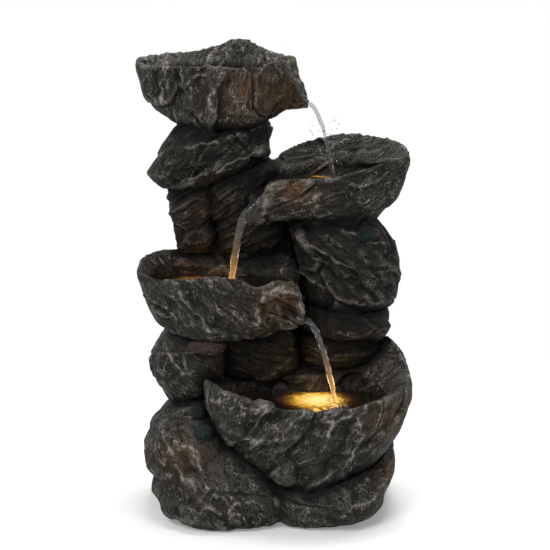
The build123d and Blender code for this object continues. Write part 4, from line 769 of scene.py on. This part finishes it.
rocks["basin"] = carveRock(
    "basin", seed=13, finish=paleStone, voxel=2.4, wear=12, hollow=(65, -50, 86, 240), bed=(0.78, 0, -0.62),
    grain=(-0.62, 0, -0.78), ledge=(20, 0.0), fold=(60, 4.0), frontTo=-60,
    strokes=[(6, 1.5, [(-101, 212), (-62, 224), (-38, 212), (-2, 215), (22, 230)]),
             (7, 3.0, [(-44, 205), (-2, 213), (19, 229)]),
             (7, 3.0, [(-68, 166), (-50, 161), (-8, 161), (19, 169), (31, 188), (49, 210), (52, 226)]),
             (7, 3.0, [(19, 109), (49, 122), (82, 147), (88, 166), (100, 194)]),
             (7, 3.0, [(125, 119), (137, 142), (146, 170), (140, 196), (157, 227)]),
             (6, 2.0, [(46, 224), (70, 215), (76, 202), (94, 196), (127, 205)]),
             (12, -7.0, [(62, 200), (44, 166), (24, 136)]), (11, -5.0, [(8, 205), (-14, 186), (-40, 178)]),
             (12, -6.0, [(125, 192), (112, 150), (92, 120)])],
    warm=[(178, -110, 190, 30, 0.7), (205, -60, 190, 25, 0.7)], wet=[(72, -60, 200, 60, 0.8)])
rocks["base"] = carveRock(
    "base_left_rock", "base_right_rock", "rear_panel", seed=14, voxel=3.1, bed=(0.3, 0, 0.95),
    grain=(0.6, 0, -0.8), facet=(120, 0.14), ledge=(24, 1.0), fold=(75, 4.0), wear=6, frontTo=0,
    calm=[((-124, 138, 72), (22, 190, 192), 0.0)],  # round the doorway
    strokes=[(8, 2.5, [(-183, 149), (-164, 114), (-145, 82)]),
             (8, 2.5, [(-178, 142), (-134, 133), (-115, 121)]),
             (8, 2.5, [(-134, 83), (-125, 57), (-89, 38), (-72, 36), (-59, 52), (-33, 57), (-7, 40)]),
             (8, 2.0, [(113, 34), (132, 46), (165, 50), (186, 72)])],
    warm=[(-150, -130, 132, 40, 0.7), (205, -90, 100, 30, 0.8)])
rocks["rear_door"] = carveRock(
    "rear_door", body="rear_door", seed=14, voxel=1.6, facet=(60, 0.02), ledge=(16, 0.5), fold=(40, 1.5),
    scratch=(12, 0.6), crack=0.8, wear=0)

# Pebbles bonded into the joints
pebbleLook = {"voxel": 0.9, "facet": (22, 0.3), "ledge": (20, 0.0), "fold": (26, 1.2), "scratch": (6, 0.2),
              "crack": 0.2, "grit": 0.2, "wear": 8}
carveRock("red_pebbles", seed=16, finish=redPebble, **pebbleLook)
carveRock("dark_pebbles", seed=17, finish=darkPebble, **pebbleLook)


# Painted shade where one casting meets the next: the skin darkens near the next casting
jointShadeReach = 26.0


def markJoints(pieces):
    graph = bpy.context.evaluated_depsgraph_get()
    skins = {name: meshArrays(obj.data)[0] for name, obj in pieces.items()}
    trees = {name: BVHTree.FromObject(obj, graph) for name, obj in pieces.items()}
    for name, obj in pieces.items():
        points = skins[name]
        near = np.full(len(points), jointShadeReach * mm)
        for other in pieces:
            if other == name:
                continue
            low, high = skins[other].min(axis=0) - jointShadeReach * mm, skins[other].max(axis=0) + jointShadeReach * mm
            inside = np.all((points > low) & (points < high), axis=1)
            for place in np.flatnonzero(inside):
                found = trees[other].find_nearest(Vector(points[place]), near[place])
                if found[0] is not None:
                    near[place] = min(near[place], found[3])
        setFloat(obj.data, "joint", 1 - near / (jointShadeReach * mm))


markJoints({name: obj for name, obj in rocks.items() if name != "rear_door"})
print("stage: castings and pebbles")


# Water: pools in the four bowls, streams between them and drops where they land
def buildGlowWater():
    material, tree, shader = newMaterial("poolWater", Roughness=0.05, IOR=1.33)
    place = put(tree, "ShaderNodeTexCoord").outputs["Object"]
    glow = put(tree, "ShaderNodeAttribute", attribute_name="glow").outputs["Fac"]
    foam = put(tree, "ShaderNodeAttribute", attribute_name="foam").outputs["Fac"]
    fine = cloud(tree, place, 190.0, 4.0)
    broad = cloud(tree, place, 60.0, 3.0)
    froth = calc(tree, "MULTIPLY", foam, ramp(tree, fine, 0.48, 0.62))
    depths = blendColour(tree, froth, (0.012, 0.010, 0.007, 1), (0.6, 0.58, 0.52, 1))
    feed(tree, shader.inputs["Base Color"], depths)
    dapple = ramp(tree, fine, 0.35, 0.7, 0.7, 1.0)
    dapple = calc(tree, "ADD", dapple, ramp(tree, broad, 0.35, 0.65, -0.1, 0.15))
    # Painted light: the pool surface glows amber over the lamps under the water
    lit = calc(tree, "MULTIPLY", glow, dapple)
    amberGlow = blendColour(tree, ramp(tree, lit, 0.0, 0.45), (0.25, 0.06, 0.004, 1), (0.95, 0.50, 0.06, 1))
    amberGlow = blendColour(tree, ramp(tree, lit, 0.4, 0.95), amberGlow, (1.0, 0.86, 0.30, 1))
    amberGlow = blendColour(tree, 1.0, amberGlow, ramp(tree, lit, 0.0, 0.6), "MULTIPLY")
    feed(tree, shader.inputs["Emission Color"], amberGlow)
    shader.inputs["Emission Strength"].default_value = 1.0
    ripple = put(tree, "ShaderNodeBump", {"Strength": 0.25, "Distance": 0.002, "Height": broad})
    tree.links.new(ripple.outputs[0], shader.inputs["Normal"])
    return material


poolWater = buildGlowWater()
fallingWater, tree, shader = newMaterial("fallingWater", Base_Color=(0.5, 0.52, 0.55, 1), Roughness=0.05,
                                         IOR=1.33)
shader.inputs["Transmission Weight"].default_value = 0.94
# Painted light: the falling water glows amber where the stream reaches a lit pool
lit = put(tree, "ShaderNodeAttribute", attribute_name="amberGlow").outputs["Fac"]
feed(tree, shader.inputs["Emission Color"], blendColour(tree, lit, (0, 0, 0, 1), (1.0, 0.5, 0.1, 1)))
shader.inputs["Emission Strength"].default_value = 0.6

pools = {
    "top_bowl": {"centre": (-85, 62), "level": 740, "reach": 150, "drop": (-55, 86), "glow": []},
    "second_bowl": {"centre": (105, 27), "level": 560, "reach": 130, "drop": (105, 30),
                    "glow": [(84, 84, 22, 0.4)]},
    "third_bowl": {"centre": (-85, -5), "level": 394, "reach": 120, "drop": (-69, 5),
                   "glow": [(-133, 2, 34, 0.35)]},
    "basin": {"centre": (65, -50), "level": 197, "reach": 220, "drop": (107, -80),
              "glow": [(77, -44, 40, 1.2)]}}
poolMesh = {"spokes": 120, "rings": 44, "tuck": 3.0, "wave": 0.9, "waveLength": 15.0, "calmAfter": 45.0,
            "foam": 16.0}


def fillPool(name, look):
    tree = BVHTree.FromObject(rocks[name], bpy.context.evaluated_depsgraph_get())
    middle = Vector((*look["centre"], look["level"])) * mm
    reach = []
    for spoke in range(poolMesh["spokes"]):
        angle = 2 * math.pi * spoke / poolMesh["spokes"]
        hit = tree.ray_cast(middle, Vector((math.cos(angle), math.sin(angle), 0)), look["reach"] * mm)
        reach.append(math.nan if hit[0] is None else hit[3] + poolMesh["tuck"] * mm)
    met = np.flatnonzero(~np.isnan(reach))
    reach = np.interp(np.arange(len(reach)), met, np.array(reach)[met], period=len(reach))
    angles = np.arange(poolMesh["spokes"]) * 2 * math.pi / poolMesh["spokes"]
    shares = (np.arange(poolMesh["rings"]) + 1) / poolMesh["rings"]
    spread = shares[:, None] * reach[None, :]
    flat = np.stack([middle.x + spread * np.cos(angles), middle.y + spread * np.sin(angles)], axis=-1)
    flat = np.vstack([[middle.x, middle.y], flat.reshape(-1, 2)])
    away = np.linalg.norm(flat - np.array(look["drop"]) * mm, axis=1) / mm
    wave = poolMesh["wave"] * np.sin(2 * math.pi * away / poolMesh["waveLength"])
    wave *= np.exp(-away / poolMesh["calmAfter"])
    points = np.column_stack([flat, middle.z + wave * mm])
    count = poolMesh["spokes"]
    faces = [(0, 1 + spoke, 1 + (spoke + 1) % count) for spoke in range(count)]
    for ring in range(poolMesh["rings"] - 1):
        base = 1 + ring * count
        for spoke in range(count):
            following = (spoke + 1) % count
            faces.append((base + spoke, base + count + spoke, base + count + following, base + following))
    mesh = bpy.data.meshes.new(name + "Water")
    mesh.from_pydata([tuple(point) for point in points], [], faces)
    mesh.shade_smooth()
    glow = np.zeros(len(points))
    for x, y, radius, strength in look["glow"]:
        fromLamp = np.linalg.norm(flat - np.array((x, y)) * mm, axis=1) / (radius * mm)
        glow += strength * np.exp(-fromLamp ** 2)
    setFloat(mesh, "glow", glow)
    setFloat(mesh, "foam", np.exp(-(away / poolMesh["foam"]) ** 2))
    pool = bpy.data.objects.new(name + "Water", mesh)
    scene.collection.objects.link(pool)
    paint(pool, poolWater)
    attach(pool, "root")


for name, look in pools.items():
    fillPool(name, look)
print("stage: pools")


def buildStreamTree():
    starts = {"Start": 0.007, "End": 0.005, "Ripple": 0.003, "Glow": 0.0, "Seed": 0.0}
    inputs = [(label, "NodeSocketFloat", value) for label, value in starts.items()]
    tree, given = geometryGroup("fallingStream", inputs)
    line = put(tree, "GeometryNodeResampleCurve", {"Curve": given["Geometry"], "Count": 150}).outputs[0]
    share = put(tree, "GeometryNodeSplineParameter").outputs["Factor"]
    width = put(tree, "ShaderNodeMapRange",
                {"Value": share, "To Min": given["Start"], "To Max": given["End"]}).outputs[0]
    # Painted light: the stream glows amber towards its foot
    amberGlow = calc(tree, "MULTIPLY", calc(tree, "POWER", share, 5.0), given["Glow"])
    line = put(tree, "GeometryNodeStoreNamedAttribute",
               {"Geometry": line, "Name": "amberGlow", "Value": amberGlow}, domain="POINT").outputs[0]
    width = calc(tree, "MULTIPLY", width, ramp(tree, share, 0.0, 0.3, 0.3, 1.0))
    ring = put(tree, "GeometryNodeCurvePrimitiveCircle", {"Resolution": 16, "Radius": 1.0}).outputs[0]
    rope = put(tree, "GeometryNodeCurveToMesh",
               {"Curve": line, "Profile Curve": ring, "Scale": width, "Fill Caps": True}).outputs[0]
    position = put(tree, "GeometryNodeInputPosition").outputs[0]
    normal = put(tree, "GeometryNodeInputNormal").outputs[0]
    drawn = vec(tree, "MULTIPLY", position, (1.0, 1.0, 0.3))
    strand = calc(tree, "SUBTRACT", cloud(tree, drawn, 150.0, 2.0, given["Seed"]), 0.5)
    strand = calc(tree, "MULTIPLY", calc(tree, "MULTIPLY", strand, 2.0), given["Ripple"])
    moved = put(tree, "GeometryNodeSetPosition",
                {"Geometry": rope, "Offset": vec(tree, "SCALE", normal, strand)}).outputs[0]
    smooth = put(tree, "GeometryNodeSetShadeSmooth", {"Geometry": moved}).outputs[0]
    whole = put(tree, "GeometryNodeRealizeInstances", {"Geometry": smooth}).outputs[0]
    done = put(tree, "GeometryNodeSetMaterial", {"Geometry": whole, "Material": given["Finish"]}).outputs[0]
    put(tree, "NodeGroupOutput", {"Geometry": done})
    return tree


streamTree = buildStreamTree()
streams = {
    "topStream": {"bowl": "top_bowl", "lip": (20, 40), "tip": (60, 31), "land": (105, 30, 560),
                  "wide": (3.0, 3.6), "glow": 0.0, "seed": 1},
    "secondStream": {"bowl": "second_bowl", "lip": (0, 0), "tip": (-37, -19), "land": (-69, 5, 394),
                     "wide": (8.0, 5.2), "glow": 0.5, "seed": 2},
    "thirdStream": {"bowl": "third_bowl", "lip": (26, -28), "tip": (54, -37), "land": (107, -80, 197),
                    "wide": (5.8, 3.6), "glow": 1.0, "seed": 3}}
streamLine = {"lipSteps": 8, "fallSteps": 24, "above": 40, "feel": 200, "film": 1.5}


def pourStream(name, look):
    tree = BVHTree.FromObject(rocks[look["bowl"]], bpy.context.evaluated_depsgraph_get())
    ground = pools[look["bowl"]]["level"]
    path = []
    for step in range(streamLine["lipSteps"] + 1):
        share = step / streamLine["lipSteps"]
        x, y = (first + (second - first) * share for first, second in zip(look["lip"], look["tip"]))
        above = Vector((x, y, ground + streamLine["above"])) * mm
        hit = tree.ray_cast(above, Vector((0, 0, -1)), streamLine["feel"] * mm)
        if hit[0] is not None:
            path.append(Vector((x * mm, y * mm, hit[0].z + streamLine["film"] * mm)))
    start = path[-1]
    land = Vector(look["land"]) * mm
    for step in range(1, streamLine["fallSteps"] + 1):
        share = step / streamLine["fallSteps"]
        place = start.lerp(land, share)
        place.z = start.z - (start.z - land.z) * share ** 2
        path.append(place)
    curve = bpy.data.curves.new(name, "CURVE")
    curve.dimensions = "3D"
    line = curve.splines.new("POLY")
    line.points.add(len(path) - 1)
    for point, place in zip(line.points, path):
        point.co = (*place, 1)
    holder = bpy.data.objects.new(name + "Line", curve)
    scene.collection.objects.link(holder)
    start, end = look["wide"]
    runTree(holder, streamTree, {"Start": start * mm, "End": end * mm, "Glow": look["glow"],
                                 "Seed": float(look["seed"]), "Finish": fallingWater})
    graph = bpy.context.evaluated_depsgraph_get()
    mesh = bpy.data.meshes.new_from_object(holder.evaluated_get(graph), depsgraph=graph)
    bpy.data.objects.remove(holder)
    stream = bpy.data.objects.new(name, mesh)
    scene.collection.objects.link(stream)
    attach(stream, "root")


for name, look in streams.items():
    pourStream(name, look)
print("stage: streams")


def buildDropTree():
    inputs = [("Count", "NodeSocketInt", 40), ("Low", "NodeSocketVector", (0, 0, 0)),
              ("High", "NodeSocketVector", (0, 0, 0)), ("Seed", "NodeSocketInt", 0)]
    tree, given = geometryGroup("splashDrops", inputs)
    place = put(tree, "FunctionNodeRandomValue", data_type="FLOAT_VECTOR")
    for socket, label in ((0, "Low"), (1, "High"), ("Seed", "Seed")):
        tree.links.new(given[label], place.inputs[socket])
    size = put(tree, "FunctionNodeRandomValue", {2: 0.5, 3: 1.6}, data_type="FLOAT")
    tree.links.new(given["Seed"], size.inputs["Seed"])
    points = put(tree, "GeometryNodePoints", {"Count": given["Count"], "Position": place.outputs[0]})
    drop = put(tree, "GeometryNodeMeshIcoSphere", {"Radius": 0.001, "Subdivisions": 2})
    placed = put(tree, "GeometryNodeInstanceOnPoints",
                 {"Points": points.outputs[0], "Instance": drop.outputs[0], "Scale": size.outputs[1]})
    whole = put(tree, "GeometryNodeRealizeInstances", {"Geometry": placed.outputs[0]}).outputs[0]
    smooth = put(tree, "GeometryNodeSetShadeSmooth", {"Geometry": whole}).outputs[0]
    done = put(tree, "GeometryNodeSetMaterial", {"Geometry": smooth, "Material": given["Finish"]}).outputs[0]
    put(tree, "NodeGroupOutput", {"Geometry": done})
    return tree


dropTree = buildDropTree()
splashes = {
    "topSplash": {"low": (62, 22, 575), "high": (112, 40, 668), "count": 46, "seed": 4},
    "thirdSplash": {"low": (-84, -8, 396), "high": (-54, 18, 412), "count": 26, "seed": 5},
    "basinSplash": {"low": (90, -95, 199), "high": (124, -65, 216), "count": 34, "seed": 6}}
for name, look in splashes.items():
    drops = bpy.data.objects.new(name, bpy.data.meshes.new(name))
    scene.collection.objects.link(drops)
    runTree(drops, dropTree, {"Count": look["count"], "Seed": look["seed"], "Finish": fallingWater,
                              "Low": Vector(look["low"]) * mm, "High": Vector(look["high"]) * mm})
    settle(drops)
    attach(drops, "root")
print("stage: drops")


# Warm light from the lamps under the water
warmLamps = {"colour": (1.0, 0.52, 0.13), "radius": 14.0,
             "places": {"basinGlow": ((76, -50, 224), 0.06), "thirdGlow": ((-105, 22, 403), 0.035),
                        "secondGlow": ((84, 84, 575), 0.01), "neckGlow": ((-110, 20, 505), 0.012)}}

for name, (place, power) in warmLamps["places"].items():
    lamp = bpy.data.lights.new(name, "POINT")
    lamp.energy = power
    lamp.color = warmLamps["colour"]
    lamp.shadow_soft_size = warmLamps["radius"] * mm
    holder = bpy.data.objects.new(name, lamp)
    holder.location = Vector(place) * mm
    scene.collection.objects.link(holder)
print("stage: warm lamps")
